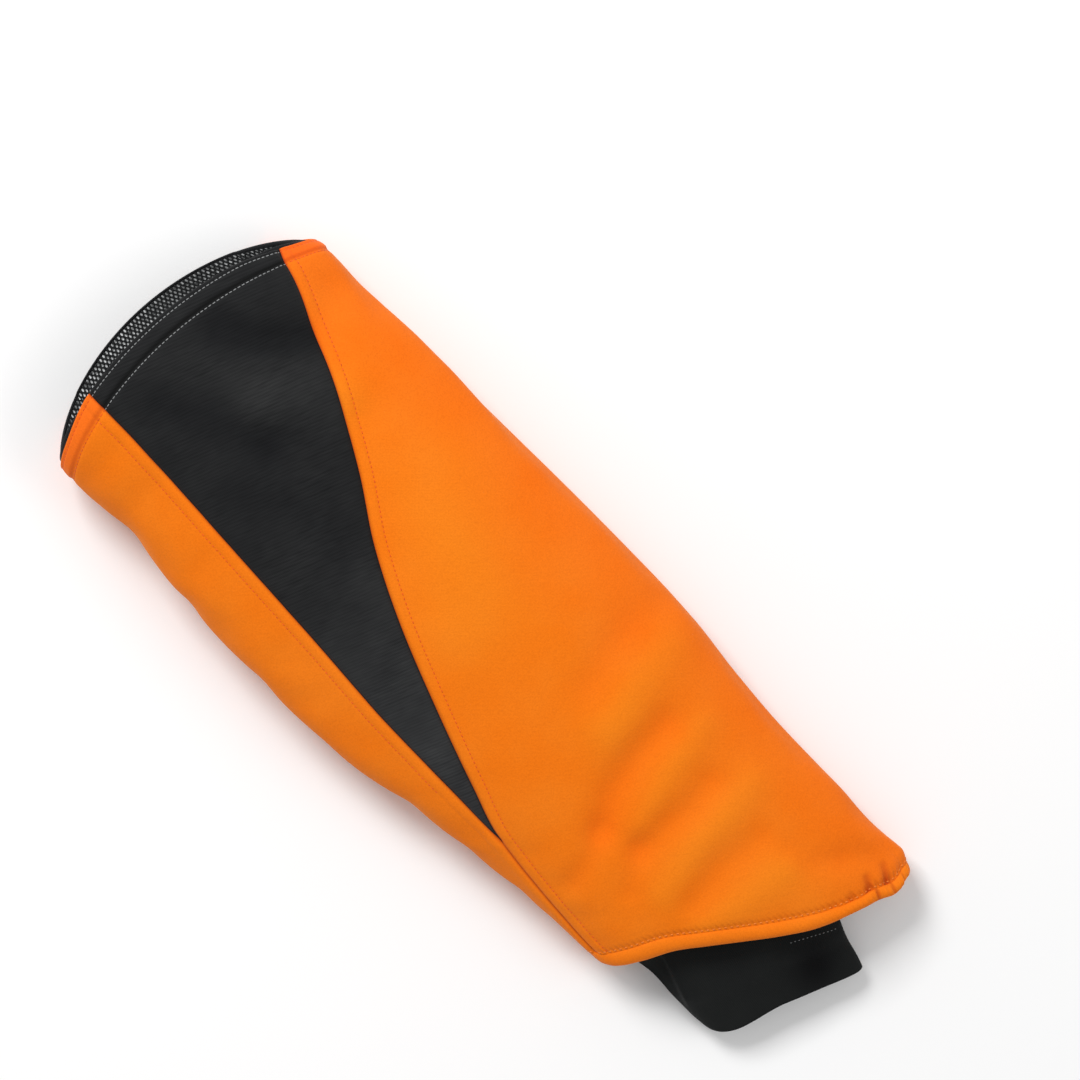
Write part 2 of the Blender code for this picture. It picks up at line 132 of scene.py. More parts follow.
# folds on the upper side, each a line of (along of length, across of half mouthWidth) points,
# its breadth of length and its depth of fullHeight; a negative depth is a ridge
folds = (
    (((0.676, 0.44), (0.678, 0.18), (0.688, -0.06), (0.708, -0.26)), 0.021, 0.044),
    (((0.708, -0.26), (0.722, -0.42), (0.730, -0.60)), 0.015, 0.021),
    (((0.760, 0.38), (0.765, 0.20), (0.757, 0.00), (0.756, -0.18)), 0.020, 0.036),
    (((0.756, -0.18), (0.768, -0.30), (0.782, -0.40)), 0.015, 0.016),
    (((0.846, 0.36), (0.838, 0.08), (0.846, -0.18)), 0.020, 0.026),
    (((0.569, 0.70), (0.573, 0.50), (0.584, 0.32)), 0.026, 0.030),
    (((0.616, 0.80), (0.621, 0.50), (0.634, 0.20)), 0.030, -0.026),
    (((0.706, 0.60), (0.714, 0.26), (0.738, -0.06)), 0.019, -0.020),
    (((0.794, 0.56), (0.797, 0.12), (0.812, -0.26)), 0.022, -0.022),
    (((0.892, 0.34), (0.884, 0.02), (0.872, -0.22)), 0.024, -0.022),
    (((0.930, 0.60), (0.905, 0.46), (0.880, 0.44)), 0.016, 0.016),
    (((0.010, 0.26), (0.048, 0.36), (0.086, 0.58)), 0.026, 0.046),
    (((0.095, 0.10), (0.120, 0.34), (0.155, 0.46)), 0.030, -0.030),
    (((0.026, -0.30), (0.070, -0.16), (0.140, -0.04)), 0.030, 0.040),
    (((0.150, -0.36), (0.200, -0.20), (0.270, -0.16)), 0.032, 0.026),
    (((0.300, 0.62), (0.360, 0.34), (0.430, 0.06)), 0.056, -0.020),
)
# gathers at the wrist: angle and spread in degrees, reach of length, depth of fullHeight
gathers = (
    (22.0, 5.5, 0.045, 0.016),
    (37.0, 5.5, 0.055, 0.022),
    (51.0, 5.5, 0.040, 0.018),
    (64.0, 6.0, 0.030, 0.010),
)
# short puckers in the fabric just inside the hem: both ends in metres, half breadth and depth
puckers = (
    (0.4805, 0.0650, 0.4720, 0.0705, 0.0021, 0.0019),
    (0.4775, 0.0540, 0.4690, 0.0590, 0.0021, 0.0021),
    (0.4735, 0.0435, 0.4690, 0.0460, 0.0018, 0.0012),
    (0.4690, 0.0330, 0.4655, 0.0350, 0.0017, 0.0007),
)
# the hem at the wrist: how far the fabric's edge is turned in, and narrower at the longer corner
wristBand = {
    "width": 0.0112,
    "cornerWidth": 0.0064,
    "cornerFrom": 0.08,       # share across the sleeve
    "cornerTo": 0.62,
    "sinkAway": 0.0006,       # the fabric sinks just inside the band
    "sinkHalfWidth": 0.0027,
    "sinkDepth": 0.0008,
    "sideLeast": 0.12,        # what is left of swell and sink at the two sides
    "sideSine": 0.60,
}
halfWidth = form["mouthWidth"] / 2


def smoothCurve(rows):
    # a curve through (position, value) rows that doesn't overshoot them
    xs = np.array([row[0] for row in rows], float)
    ys = np.array([row[1] for row in rows], float)
    steps = np.diff(xs)
    slopes = np.diff(ys) / steps
    tangents = np.zeros(len(xs))
    tangents[0] = slopes[0]
    tangents[-1] = slopes[-1]
    for i in range(1, len(xs) - 1):
        if slopes[i - 1] * slopes[i] > 0:
            first = 2 * steps[i] + steps[i - 1]
            second = steps[i] + 2 * steps[i - 1]
            tangents[i] = (first + second) / (first / slopes[i - 1] + second / slopes[i])

    def value(position):
        position = np.clip(np.asarray(position, float), xs[0], xs[-1])
        index = np.clip(np.searchsorted(xs, position) - 1, 0, len(steps) - 1)
        step = steps[index]
        t = (position - xs[index]) / step
        return (
            (1 + 2 * t) * (1 - t) ** 2 * ys[index]
            + t * (1 - t) ** 2 * step * tangents[index]
            + t * t * (3 - 2 * t) * ys[index + 1]
            + t * t * (t - 1) * step * tangents[index + 1]
        )

    return value


def smoothStep(value):
    value = np.clip(value, 0, 1)
    return value * value * (3 - 2 * value)


leftEdge = smoothCurve([(s[0] * form["length"], s[1] * halfWidth) for s in sections])
rightEdge = smoothCurve([(s[0] * form["length"], s[2] * halfWidth) for s in sections])
heightAt = smoothCurve([(s[0] * form["length"], s[3] * form["fullHeight"]) for s in sections])
wristRim = smoothCurve([(p[0], p[1] * form["length"]) for p in wristRows])
mainSeam = smoothCurve([(p[0] * form["length"], p[1] * halfWidth) for p in mainSeamRows])
underSeam = smoothCurve([(p[0] * form["length"], p[1] * halfWidth) for p in underSeamRows])


def signedPower(value, power):
    return np.sign(value) * np.abs(value) ** power


def acrossShare(angle):
    power = np.where(np.sin(angle) >= 0, form["crownPower"], form["basePower"])
    return signedPower(np.cos(angle), 2 / power)


def mouthRim(angle):
    across = acrossShare(angle)
    bulge = np.where(np.sin(angle) >= 0, form["mouthBulgeTop"], form["mouthBulgeUnder"])
    return form["mouthSlant"] / 2 * across - bulge * (1 - across**2) ** form["mouthPower"]


def runAt(angle):
    return wristRim(acrossShare(angle)) - mouthRim(angle)


# the solids were moved so that the origin is under their middle: the wall's own rule starts at
# the mouth corner, so the frame says where that lies
allAngles = np.radians(np.arange(0, 360, 0.5))
moreBulge = form["mouthBulgeUnder"] - form["solidBulgeUnder"]
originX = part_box("mouth_binding")[0].x - float(mouthRim(allAngles).min()) - moreBulge
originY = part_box("main_panel")[1].y - max(s[2] for s in sections) * halfWidth
origin = np.array((originX, originY, 0.0))


def foldDepth(x, y, angle):
    depth = np.zeros(np.broadcast(x, y, angle).shape)
    for line, breadth, deep in folds:
        ends = np.array(line) * (form["length"], halfWidth)
        away = np.full(depth.shape, 1.0)
        for start, end in zip(ends[:-1], ends[1:]):
            run = end - start
            share = np.clip(((x - start[0]) * run[0] + (y - start[1]) * run[1]) / (run @ run), 0, 1)
            away = np.minimum(away, np.hypot(x - start[0] - share * run[0], y - start[1] - share * run[1]))
        depth = depth + deep * form["fullHeight"] * np.exp(-((away / (breadth * form["length"])) ** 2))
    return depth * smoothStep(np.sin(angle) / form["foldFade"])


def puckerDepth(x, y, angle):
    depth = np.zeros(np.broadcast(x, y, angle).shape)
    for xa, ya, xb, yb, breadth, deep in puckers:
        run = np.array((xb - xa, yb - ya))
        share = np.clip(((x - xa) * run[0] + (y - ya) * run[1]) / (run @ run), 0, 1)
        away = np.hypot(x - xa - share * run[0], y - ya - share * run[1])
        depth = depth + deep * (1 - 0.6 * share) * np.exp(-((away / breadth) ** 2))
    return np.where(np.sin(angle) > 0, depth, 0)


def gatherDepth(fromWrist, angle):
    depth = np.zeros(np.broadcast(fromWrist, angle).shape)
    for around, spread, reach, deep in gathers:
        turn = (np.degrees(angle) % 360 - around) / spread
        fade = np.exp(-((fromWrist / (reach * form["length"])) ** 2))
        depth = depth + deep * form["fullHeight"] * np.exp(-(turn**2)) * fade
    return depth


def smoothWall(share, angle):
    across = acrossShare(angle)
    mouth = mouthRim(angle)
    x = mouth + (wristRim(across) - mouth) * share
    left = leftEdge(x)
    right = rightEdge(x)
    height = heightAt(x)
    widest = form["widestShare"] * height
    sine = np.sin(angle)
    upper = widest + (height - widest) * np.abs(sine) ** (2 / form["crownPower"])
    lower = widest - (widest + form["flattening"] * height) * np.abs(sine) ** (2 / form["basePower"])
    y = (left + right) / 2 + (right - left) / 2 * across
    z = np.where(sine >= 0, upper, np.maximum(lower, 0))
    return np.stack(np.broadcast_arrays(x, y, z), axis=-1)


def outwardAt(share, angle):
    nudgeShare = 1 / 500
    nudgeAngle = math.radians(1)
    forward = smoothWall(share + nudgeShare, angle) - smoothWall(share - nudgeShare, angle)
    around = smoothWall(share, angle + nudgeAngle) - smoothWall(share, angle - nudgeAngle)
    outward = np.cross(around, forward)
    return outward / np.linalg.norm(outward, axis=-1, keepdims=True)


puffField = None  # filled by the cloth simulation further down


def puffAt(share, angle):
    # how far the simulated fabric stands out, read from its regular grid
    if puffField is None:
        return np.zeros(np.broadcast(share, angle).shape)
    rows, columns = puffField.shape
    r = np.clip(np.asarray(share, float), 0, 1) * (rows - 1)
    c = (np.asarray(angle, float) / (2 * math.pi)) % 1 * columns
    r, c = np.broadcast_arrays(r, c)
    r0 = np.minimum(r.astype(int), rows - 2)
    c0 = c.astype(int) % columns
    c1 = (c0 + 1) % columns
    fr = r - r0
    fc = c - np.floor(c)
    top = puffField[r0, c0] * (1 - fc) + puffField[r0, c1] * fc
    low = puffField[r0 + 1, c0] * (1 - fc) + puffField[r0 + 1, c1] * fc
    return top * (1 - fr) + low * fr


seamLook = {
    "dip": 0.0011,
    "dipHalfWidth": 0.0013,
    "shoulder": 0.0004,      # fabric swells a little beside a seam
    "shoulderAt": 0.0045,
    "topstitchAway": 0.0068,
    "grooveDepth": 0.00030,
    "grooveHalfWidth": 0.0009,
    "leastRise": 0.35,       # how steep the side may get before distances stop stretching
}


def seamAway(curve, point, outward):
    # distance from a seam along the surface, positive on its longer wrist side
    nudge = 0.001
    slope = (curve(point[..., 0] + nudge) - curve(point[..., 0] - nudge)) / (2 * nudge)
    away = (point[..., 1] - curve(point[..., 0])) / np.sqrt(1 + slope**2)
    return away / np.maximum(outward[..., 2], seamLook["leastRise"])


def seamRelief(point, outward, angle):
    onTop = np.sin(angle) > 0.02
    far = np.full(point.shape[:-1], 1.0)
    main = np.where(onTop, seamAway(mainSeam, point, outward), far)
    under = np.where(onTop & (point[..., 0] < wedgeTipX), seamAway(underSeam, point, outward), far)
    relief = np.zeros(point.shape[:-1])
    for away in (main, under):
        relief = relief - seamLook["dip"] * np.exp(-((away / seamLook["dipHalfWidth"]) ** 2))
        beside = (np.abs(away) - seamLook["shoulderAt"]) / seamLook["shoulderAt"]
        relief = relief + seamLook["shoulder"] * np.exp(-(beside**2) * 2)
    for away in (main - seamLook["topstitchAway"], under + seamLook["topstitchAway"]):
        relief = relief - seamLook["grooveDepth"] * np.exp(-((away / seamLook["grooveHalfWidth"]) ** 2))
    return relief


mouthHem = {
    "cornerInset": 0.0022,
    "rowNear": 0.0026,       # first row of stitches, from the rim
    "rowFar": 0.0125,        # second row
    "groove": 0.00045,
    "grooveHalfWidth": 0.0009,
    "bandLift": 0.0005,      # the turned-in fabric makes the hem band thicker
    "rollRadius": 0.0013,    # the fabric rolls over at the rim
    "shadowGroove": 0.0007,  # the dent beside the second row, on its mouth side
    "dentAway": 0.0018,
    "dentHalfWidth": 0.0012,
    "bandEdge": 0.002,       # over which the band's lift ends
    "insetFade": 0.010,      # how far in the rim's inset has gone
    "reliefFade": 0.012,
    "cornerShare": 0.58,     # share across where the corners begin
    "lowSine": 0.42,         # sine of the angle below which the underside begins
    "over": 0.30,
}


def standsBack(angle):
    # 1 on the underside and at the corners of the mouth, where the fabric stands back from the rim
    corner = smoothStep((np.abs(acrossShare(angle)) - mouthHem["cornerShare"]) / mouthHem["over"])
    return np.maximum(corner, smoothStep((mouthHem["lowSine"] - np.sin(angle)) / mouthHem["over"]))


def rimInset(angle):
    return mouthHem["cornerInset"] * standsBack(angle)


def hemRelief(fromMouth):
    relief = np.zeros(np.shape(fromMouth))
    for row in (mouthHem["rowNear"], mouthHem["rowFar"]):
        relief = relief - mouthHem["groove"] * np.exp(-(((fromMouth - row) / mouthHem["grooveHalfWidth"]) ** 2))
    dent = (fromMouth - mouthHem["rowFar"] + mouthHem["dentAway"]) / mouthHem["dentHalfWidth"]
    relief = relief - mouthHem["shadowGroove"] * np.exp(-(dent**2))
    radius = mouthHem["rollRadius"]
    beyond = np.clip((radius - fromMouth) / radius, 0, 1)
    relief = relief - radius * (1 - np.sqrt(1 - beyond**2))
    return relief + mouthHem["bandLift"] * smoothStep((mouthHem["rowFar"] - fromMouth) / mouthHem["bandEdge"])


def bandWidth(angle):
    share = (acrossShare(angle) - wristBand["cornerFrom"]) / (wristBand["cornerTo"] - wristBand["cornerFrom"])
    return wristBand["width"] + (wristBand["cornerWidth"] - wristBand["width"]) * smoothStep(share)


def sideFade(angle):
    least = wristBand["sideLeast"]
    return least + (1 - least) * smoothStep(np.abs(np.sin(angle)) / wristBand["sideSine"])


def wristRelief(fromWrist, angle):
    # the fabric sinks where the hem is stitched down
    beside = (fromWrist - bandWidth(angle) - wristBand["sinkAway"]) / wristBand["sinkHalfWidth"]
    return -wristBand["sinkDepth"] * np.exp(-(beside**2)) * sideFade(angle)


def shellPoint(share, angle, proud=0.0, detail=True):
    # the outer face of the fabric, proud metres above it
    share = np.asarray(share, float)
    point = smoothWall(share, angle)
    outward = outwardAt(share, angle)
    run = runAt(angle)
    lift = puffAt(share, angle) - foldDepth(point[..., 0], point[..., 1], angle)
    lift = lift - gatherDepth((1 - share) * run, angle)
    if detail:
        fromEdge = share * run - rimInset(angle) * (1 - smoothStep(share * run / mouthHem["reliefFade"]))
        lift = lift + seamRelief(point, outward, angle) + hemRelief(fromEdge)
        lift = lift + wristRelief((1 - share) * run, angle)
        lift = lift - puckerDepth(point[..., 0], point[..., 1], angle)
    point = point + outward * (lift + proud)[..., None]
    point[..., 2] = np.maximum(point[..., 2], 0)
    return point + origin, outward


def insidePoint(share, angle, depth, puckered=False):
    # a place inside the wall: gathers and puckers fade out through the padding
    share = np.asarray(share, float)
    point = smoothWall(share, angle)
    outward = outwardAt(share, angle)
    softened = np.clip(1 - (depth - form["shellWall"] - form["wallGap"]) / form["liningWall"], 0, 1)
    pushed = foldDepth(point[..., 0], point[..., 1], angle) - puffAt(share, angle) * softened
    pushed = pushed + gatherDepth((1 - share) * runAt(angle), angle) * softened
    if puckered:
        clear = 0.0006  # and the padding stays this much further in
        pushed = pushed + (puckerDepth(point[..., 0], point[..., 1], angle) + clear) * softened
    point = point - outward * (depth + pushed)[..., None]
    point[..., 2] = np.maximum(point[..., 2], 0)
    return point + origin


def lastAngle(count, holds):
    # for each row, the angle over the top up to which holds(angle) is true
    low = np.full(count, 0.001)
    high = np.full(count, math.pi - 0.001)
    for _ in range(40):
        middle = (low + high) / 2
        before = holds(middle)
        low = np.where(before, middle, low)
        high = np.where(before, high, middle)
    return (low + high) / 2


def seamAngle(curve, rows):
    # the angle at which each row of the grid crosses a seam
    def beforeSeam(angle):
        point = smoothWall(shareOf(rows, angle), angle)
        return point[..., 1] > curve(point[..., 0])

    return lastAngle(len(rows), beforeSeam)


nominalRun = 0.47  # rows of a grid are even distances on a sleeve of this length
# shares of the rows where they stop following the mouth, and start following wrist and hem
rowFollow = {"mouthTo": 0.05, "wristFrom": 0.75, "over": 0.20, "hemFrom": 0.86, "hemOver": 0.13}


def shareOf(row, angle):
    # rows keep their distance from the mouth near it, and from the wrist near that
    run = runAt(angle)
    fromMouth = row * nominalRun / run
    fromWrist = 1 - (1 - row) * nominalRun / run
    share = fromMouth + (row - fromMouth) * smoothStep((row - rowFollow["mouthTo"]) / rowFollow["over"])
    share = share + (fromWrist - share) * smoothStep((row - rowFollow["wristFrom"]) / rowFollow["over"])
    # the last rows follow the hem, which is wider away from the corner
    wider = bandWidth(angle) - wristBand["cornerWidth"]
    return share - wider / run * smoothStep((row - rowFollow["hemFrom"]) / rowFollow["hemOver"])


def wedgeTip():
    low, high = 0.5, 0.8
    for _ in range(40):
        middle = (low + high) / 2
        x = middle * form["length"]
        if mainSeam(x) > underSeam(x):
            low = middle
        else:
            high = middle
    return low * form["length"]


wedgeTipX = wedgeTip()


def spreadColumns(fromAngle, toAngle, rows, positions):
    # angles at even shares of the surface distance between two edges, and that distance
    fine = np.linspace(0, 1, 301)
    angles = fromAngle[:, None] + (toAngle - fromAngle)[:, None] * fine[None, :]
    points = smoothWall(shareOf(rows[:, None], angles), angles)
    steps = np.linalg.norm(np.diff(points, axis=1), axis=2)
    reached = np.concatenate((np.zeros((len(rows), 1)), np.cumsum(steps, axis=1)), axis=1)
    width = reached[:, -1]
    spread = np.array(
        [np.interp(positions * width[i], reached[i], angles[i]) for i in range(len(rows))]
    )
    return spread, positions[None, :] * width[:, None]


def denseEnds(count, pull):
    # count steps from 0 to 1, closer together at both ends
    even = np.linspace(0, 1, count + 1)
    return even - pull * np.sin(2 * math.pi * even) / (2 * math.pi)


def gridMesh(name, points, uv, wrap=False):
    # rows along the sleeve and columns by growing angle, so that faces look outwards
    rows, columns = points.shape[:2]
    mesh = bpy.data.meshes.new(name)
    quads = []
    for r in range(rows - 1):
        for c in range(columns if wrap else columns - 1):
            d = (c + 1) % columns
            quads.append((r * columns + c, r * columns + d, (r + 1) * columns + d, (r + 1) * columns + c))
    mesh.from_pydata(points.reshape(-1, 3).tolist(), [], quads)
    layer = mesh.uv_layers.new(name="cloth")
    flat = uv.reshape(-1, 2)
    index = np.array([v for quad in quads for v in quad])
    layer.data.foreach_set("uv", flat[index].astype(np.float32).ravel())
    mesh.shade_smooth()
    return mesh


def addPiece(name, mesh, material=None):
    obj = bpy.data.objects.new(name, mesh)
    bpy.context.scene.collection.objects.link(obj)
    if material:
        mesh.materials.append(material)
    return obj


def applyModifiers(obj):
    bpy.context.view_layer.update()
    graph = bpy.context.evaluated_depsgraph_get()
    mesh = bpy.data.meshes.new_from_object(obj.evaluated_get(graph), depsgraph=graph)
    obj.modifiers.clear()
    obj.data = mesh
    return obj


def thicken(obj, wall):
    solid = obj.modifiers.new("wall", "SOLIDIFY")
    solid.thickness = wall
    solid.offset = -1
    solid.use_even_offset = False
    return applyModifiers(obj)


def addNode(tree, kind, inputs, **settings):
    # a node with its sockets set: a socket given as a value is linked, anything else is stored
    node = tree.nodes.new(kind)
    for name, value in settings.items():
        setattr(node, name, value)
    for key, value in inputs.items():
        if isinstance(value, bpy.types.NodeSocket):
            tree.links.new(value, node.inputs[key])
        else:
            node.inputs[key].default_value = value
    return node


def newMaterial(name, colour, roughness, sheen=0.0, sheenTint=(1, 1, 1), specular=0.10):
    material = bpy.data.materials.new(name)
    material.use_nodes = True
    shader = material.node_tree.nodes["Principled BSDF"]
    shader.inputs["Base Color"].default_value = (*colour, 1)
    shader.inputs["Roughness"].default_value = roughness
    shader.inputs["Specular IOR Level"].default_value = specular
    shader.inputs["Sheen Weight"].default_value = sheen
    shader.inputs["Sheen Roughness"].default_value = 0.45
    shader.inputs["Sheen Tint"].default_value = (*sheenTint, 1)
    material.diffuse_color = (*colour, 1)
    return material, material.node_tree, shader


def mathNode(tree, operation, first, second=0.0):
    return addNode(tree, "ShaderNodeMath", {0: first, 1: second}, operation=operation).outputs[0]


def rampNode(tree, value, stops):
    node = addNode(tree, "ShaderNodeValToRGB", {0: value})
    ramp = node.color_ramp
    while len(ramp.elements) > 1:
        ramp.elements.remove(ramp.elements[-1])
    for i, (position, colour) in enumerate(stops):
        element = ramp.elements[0] if i == 0 else ramp.elements.new(position)
        element.position = position
        element.color = (*colour, 1)
    return node.outputs["Color"]


def mixColour(tree, share, first, second, blend="MIX"):
    node = addNode(tree, "ShaderNodeMix", {0: share, 6: first, 7: second}, data_type="RGBA", blend_type=blend)
    return node.outputs[2]


def clothAxes(tree):
    # metres across and along the cut fabric, from the piece's own UV map
    uv = addNode(tree, "ShaderNodeUVMap", {}, uv_map="cloth").outputs["UV"]
    parts = addNode(tree, "ShaderNodeSeparateXYZ", {0: uv})
    return parts.outputs["X"], parts.outputs["Y"]


def objectNoise(tree, scale, detail=2.0, stretch=(1, 1, 1)):
    place = addNode(tree, "ShaderNodeTexCoord", {}).outputs["Object"]
    place = addNode(tree, "ShaderNodeMapping", {"Vector": place, "Scale": stretch}).outputs["Vector"]
    noise = addNode(tree, "ShaderNodeTexNoise", {"Vector": place, "Scale": scale, "Detail": detail})
    return noise.outputs["Fac"]


def bumpNode(tree, height, distance, strength, normal=None):
    inputs = {"Height": height, "Distance": distance, "Strength": strength}
    if normal is not None:
        inputs["Normal"] = normal
    return addNode(tree, "ShaderNodeBump", inputs).outputs["Normal"]


orangeFabric = {
    "light": (0.875, 0.199, 0.0070),
    "deep": (0.865, 0.180, 0.0035),
    # the next two colours are painted shade in the fold valleys and painted highlight on the fold ridges
    "valleyShade": (0.930, 0.148, 0.0020),
    "ridge": (0.880, 0.236, 0.0080),
    "band": (0.93, 0.150, 0.0100),
    # seam is the colour of the painted shadow in seams, puckers, notches and beside the mouth hem
    "seam": (0.40, 0.040, 0.005),
    "valleyShare": 1.1,
    "ridgeShare": 2.0,
    "bandShare": 0.75,
    "sideShade": (1.0, 0.86, 1.04),  # painted shade: the fabric is a tone redder down the longer side
    "sideFrom": 0.030,       # metres from the top line
    "sideTo": 0.085,
    "roughness": 0.80,
    "sheen": 0.17,
    "sheenTint": (1.0, 0.62, 0.26),
    "grainScale": 1150,      # brushed face, about 0.9 mm
    "unevenScale": 210,
    "mottleScale": 24,
    "weavePitch": 0.0011,
    "gatherPitch": 0.0033,   # beside the wrist stitches
}


def readAttribute(tree, name):
    return addNode(tree, "ShaderNodeAttribute", {}, attribute_name=name).outputs["Fac"]


def makeOrangeShell():
    look = orangeFabric
    material, tree, shader = newMaterial(
        "orangeShell", look["light"], look["roughness"], look["sheen"], look["sheenTint"]
    )
    across, along = clothAxes(tree)
    mottle = objectNoise(tree, look["mottleScale"], 3.0)
    colour = rampNode(tree, mottle, ((0.36, look["deep"]), (0.64, look["light"])))
    # painted shade in the valleys of the folds, a deeper orange, and painted highlight on their ridges, a paler
    # one
    tone = mathNode(tree, "SUBTRACT", readAttribute(tree, "foldShadeTone"), 0.5)
    valleyShade = mathNode(tree, "MULTIPLY", tone, look["valleyShare"])
    colour = mixColour(tree, mathNode(tree, "MAXIMUM", valleyShade, 0.0), colour, (*look["valleyShade"], 1))
    ridge = mathNode(tree, "MULTIPLY", valleyShade, readAttribute(tree, "isPanel"))
    ridge = mathNode(tree, "MULTIPLY", ridge, -look["ridgeShare"])
    colour = mixColour(tree, mathNode(tree, "MAXIMUM", ridge, 0.0), colour, (*look["ridge"], 1))
    band = mathNode(tree, "MULTIPLY", readAttribute(tree, "hemBand"), look["bandShare"])
    colour = mixColour(tree, band, colour, (*look["band"], 1))
    grain = objectNoise(tree, look["grainScale"], 2.0)
    fleck = rampNode(tree, grain, ((0.30, (0.87, 0.85, 0.80)), (0.62, (1.0, 1.0, 1.0))))
    colour = mixColour(tree, 0.75, colour, fleck, "MULTIPLY")
    # painted shadow in the seams, the puckers, the hem's notches and beside the mouth hem
    colour = mixColour(tree, readAttribute(tree, "seamShade"), colour, (*look["seam"], 1))
    # painted shade, a tone redder down the longer side
    side = rampNode(
        tree, mathNode(tree, "MULTIPLY", across, -10.0),
        ((look["sideFrom"] * 10, (1.0, 1.0, 1.0)), (look["sideTo"] * 10, look["sideShade"])),
    )
    tree.links.new(mixColour(tree, 1.0, colour, side, "MULTIPLY"), shader.inputs["Base Color"])
    turn = 2 * math.pi / look["weavePitch"]
    weave = mathNode(
        tree, "MULTIPLY",
        mathNode(tree, "SINE", mathNode(tree, "MULTIPLY", across, turn)),
        mathNode(tree, "SINE", mathNode(tree, "MULTIPLY", along, turn)),
    )
    height = mathNode(tree, "ADD", mathNode(tree, "MULTIPLY", weave, 0.25), grain)
    gathers = mathNode(tree, "MULTIPLY", readAttribute(tree, "wristReach"), 2 * math.pi / look["gatherPitch"])
    gathers = mathNode(tree, "MULTIPLY", mathNode(tree, "COSINE", gathers), readAttribute(tree, "hemGather"))
    normal = bumpNode(tree, objectNoise(tree, look["unevenScale"], 2.0), 0.0006, 0.30)
    normal = bumpNode(tree, gathers, 0.0008, 0.55, normal)
    tree.links.new(bumpNode(tree, height, 0.00025, 0.45, normal), shader.inputs["Normal"])
    return material


twillFabric = {
    "light": (0.0222, 0.0227, 0.0232),
    "deep": (0.0086, 0.0088, 0.0094),
    # seam is the colour of the painted shadow in the seams and beside the mouth hem
    "seam": (0.003, 0.003, 0.003),
    "roughness": 0.74,
    "sheen": 0.07,
    "pitch": 0.00176,        # across the diagonal ribs
    "lean": math.radians(21),  # how far the ribs lean from straight across the sleeve
    "streak": 0.011,         # how long a rib stays visible
    "streakShare": 3.4,
    "ribShare": 0.55,
    "threadPitch": 0.0009,
    "threadShare": 0.35,
    # multiplied in: painted shade in patches at random, painted highlight on the ridges and painted shade in the
    # dents of the folds, painted light growing from the wide end to the point of the wedge
    "shadePatches": ((0.36, (0.72, 0.72, 0.74)), (0.66, (1.16, 1.16, 1.15))),
    "folds": ((0.05, (1.45, 1.45, 1.43)), (0.50, (1.0, 1.0, 1.0)), (0.90, (0.55, 0.56, 0.60))),
    "point": ((0.42, (1.0, 1.0, 1.0)), (0.80, (1.85, 1.85, 1.85))),
}


def leanedSum(tree, operation, across, along, acrossBy, alongBy):
    return mathNode(
        tree, operation,
        mathNode(tree, "MULTIPLY", across, acrossBy), mathNode(tree, "MULTIPLY", along, alongBy),
    )


def makeBlackTwill():
    look = twillFabric
    sine, cosine = math.sin(look["lean"]), math.cos(look["lean"])
    material, tree, shader = newMaterial("blackTwill", look["light"], look["roughness"], look["sheen"])
    across, along = clothAxes(tree)
    crosswise = leanedSum(tree, "ADD", across, along, sine / look["pitch"], cosine / look["pitch"])
    lengthwise = leanedSum(tree, "SUBTRACT", across, along, cosine / look["streak"], sine / look["streak"])
    wobble = mathNode(tree, "MULTIPLY", objectNoise(tree, 45, 2.0), 2.2)
    ribs = mathNode(tree, "ADD", mathNode(tree, "MULTIPLY", crosswise, 2 * math.pi), wobble)
    ribs = mathNode(tree, "MULTIPLY", mathNode(tree, "SINE", ribs), look["ribShare"])
    # the ribs catch the light in short broken streaks along their own length
    place = addNode(tree, "ShaderNodeCombineXYZ", {0: lengthwise, 1: crosswise}).outputs[0]
    streaks = addNode(tree, "ShaderNodeTexNoise", {"Vector": place, "Scale": 1.0, "Detail": 1.0}).outputs["Fac"]
    streaks = mathNode(tree, "MULTIPLY", mathNode(tree, "SUBTRACT", streaks, 0.5), look["streakShare"])
    threads = mathNode(tree, "SINE", mathNode(tree, "MULTIPLY", across, 2 * math.pi / look["threadPitch"]))
    threads = mathNode(tree, "MULTIPLY", threads, look["threadShare"])
    height = mathNode(tree, "ADD", mathNode(tree, "ADD", ribs, streaks), threads)
    faint = rampNode(tree, objectNoise(tree, 38, 2.0), ((0.32, (0.10, 0.10, 0.10)), (0.66, (0.27, 0.27, 0.27))))
    share = addNode(tree, "ShaderNodeMath", {0: height, 1: faint, 2: 0.5}, operation="MULTIPLY_ADD").outputs[0]
    colour = mixColour(tree, share, (*look["deep"], 1), (*look["light"], 1))
    # painted shade: large patches, lighter and darker at random, in place of the shading of soft folds
    shadePatches = rampNode(tree, objectNoise(tree, 26, 4.0), look["shadePatches"])
    colour = mixColour(tree, 0.85, colour, shadePatches, "MULTIPLY")
    # painted highlight on the ridges of the folds and painted shade in their dents
    foldShading = rampNode(tree, readAttribute(tree, "foldShadeTone"), look["folds"])
    colour = mixColour(tree, 1.0, colour, foldShading, "MULTIPLY")
    # painted light: the twill grows brighter towards the point of the wedge
    toPoint = mathNode(tree, "MULTIPLY", along, 3.2)  # 1 at the point
    colour = mixColour(tree, 1.0, colour, rampNode(tree, toPoint, look["point"]), "MULTIPLY")
    # painted shadow in the seams and beside the mouth hem
    colour = mixColour(tree, readAttribute(tree, "seamShade"), colour, (*look["seam"], 1))
    tree.links.new(colour, shader.inputs["Base Color"])
    tree.links.new(bumpNode(tree, height, 0.00016, 0.42), shader.inputs["Normal"])
    return material


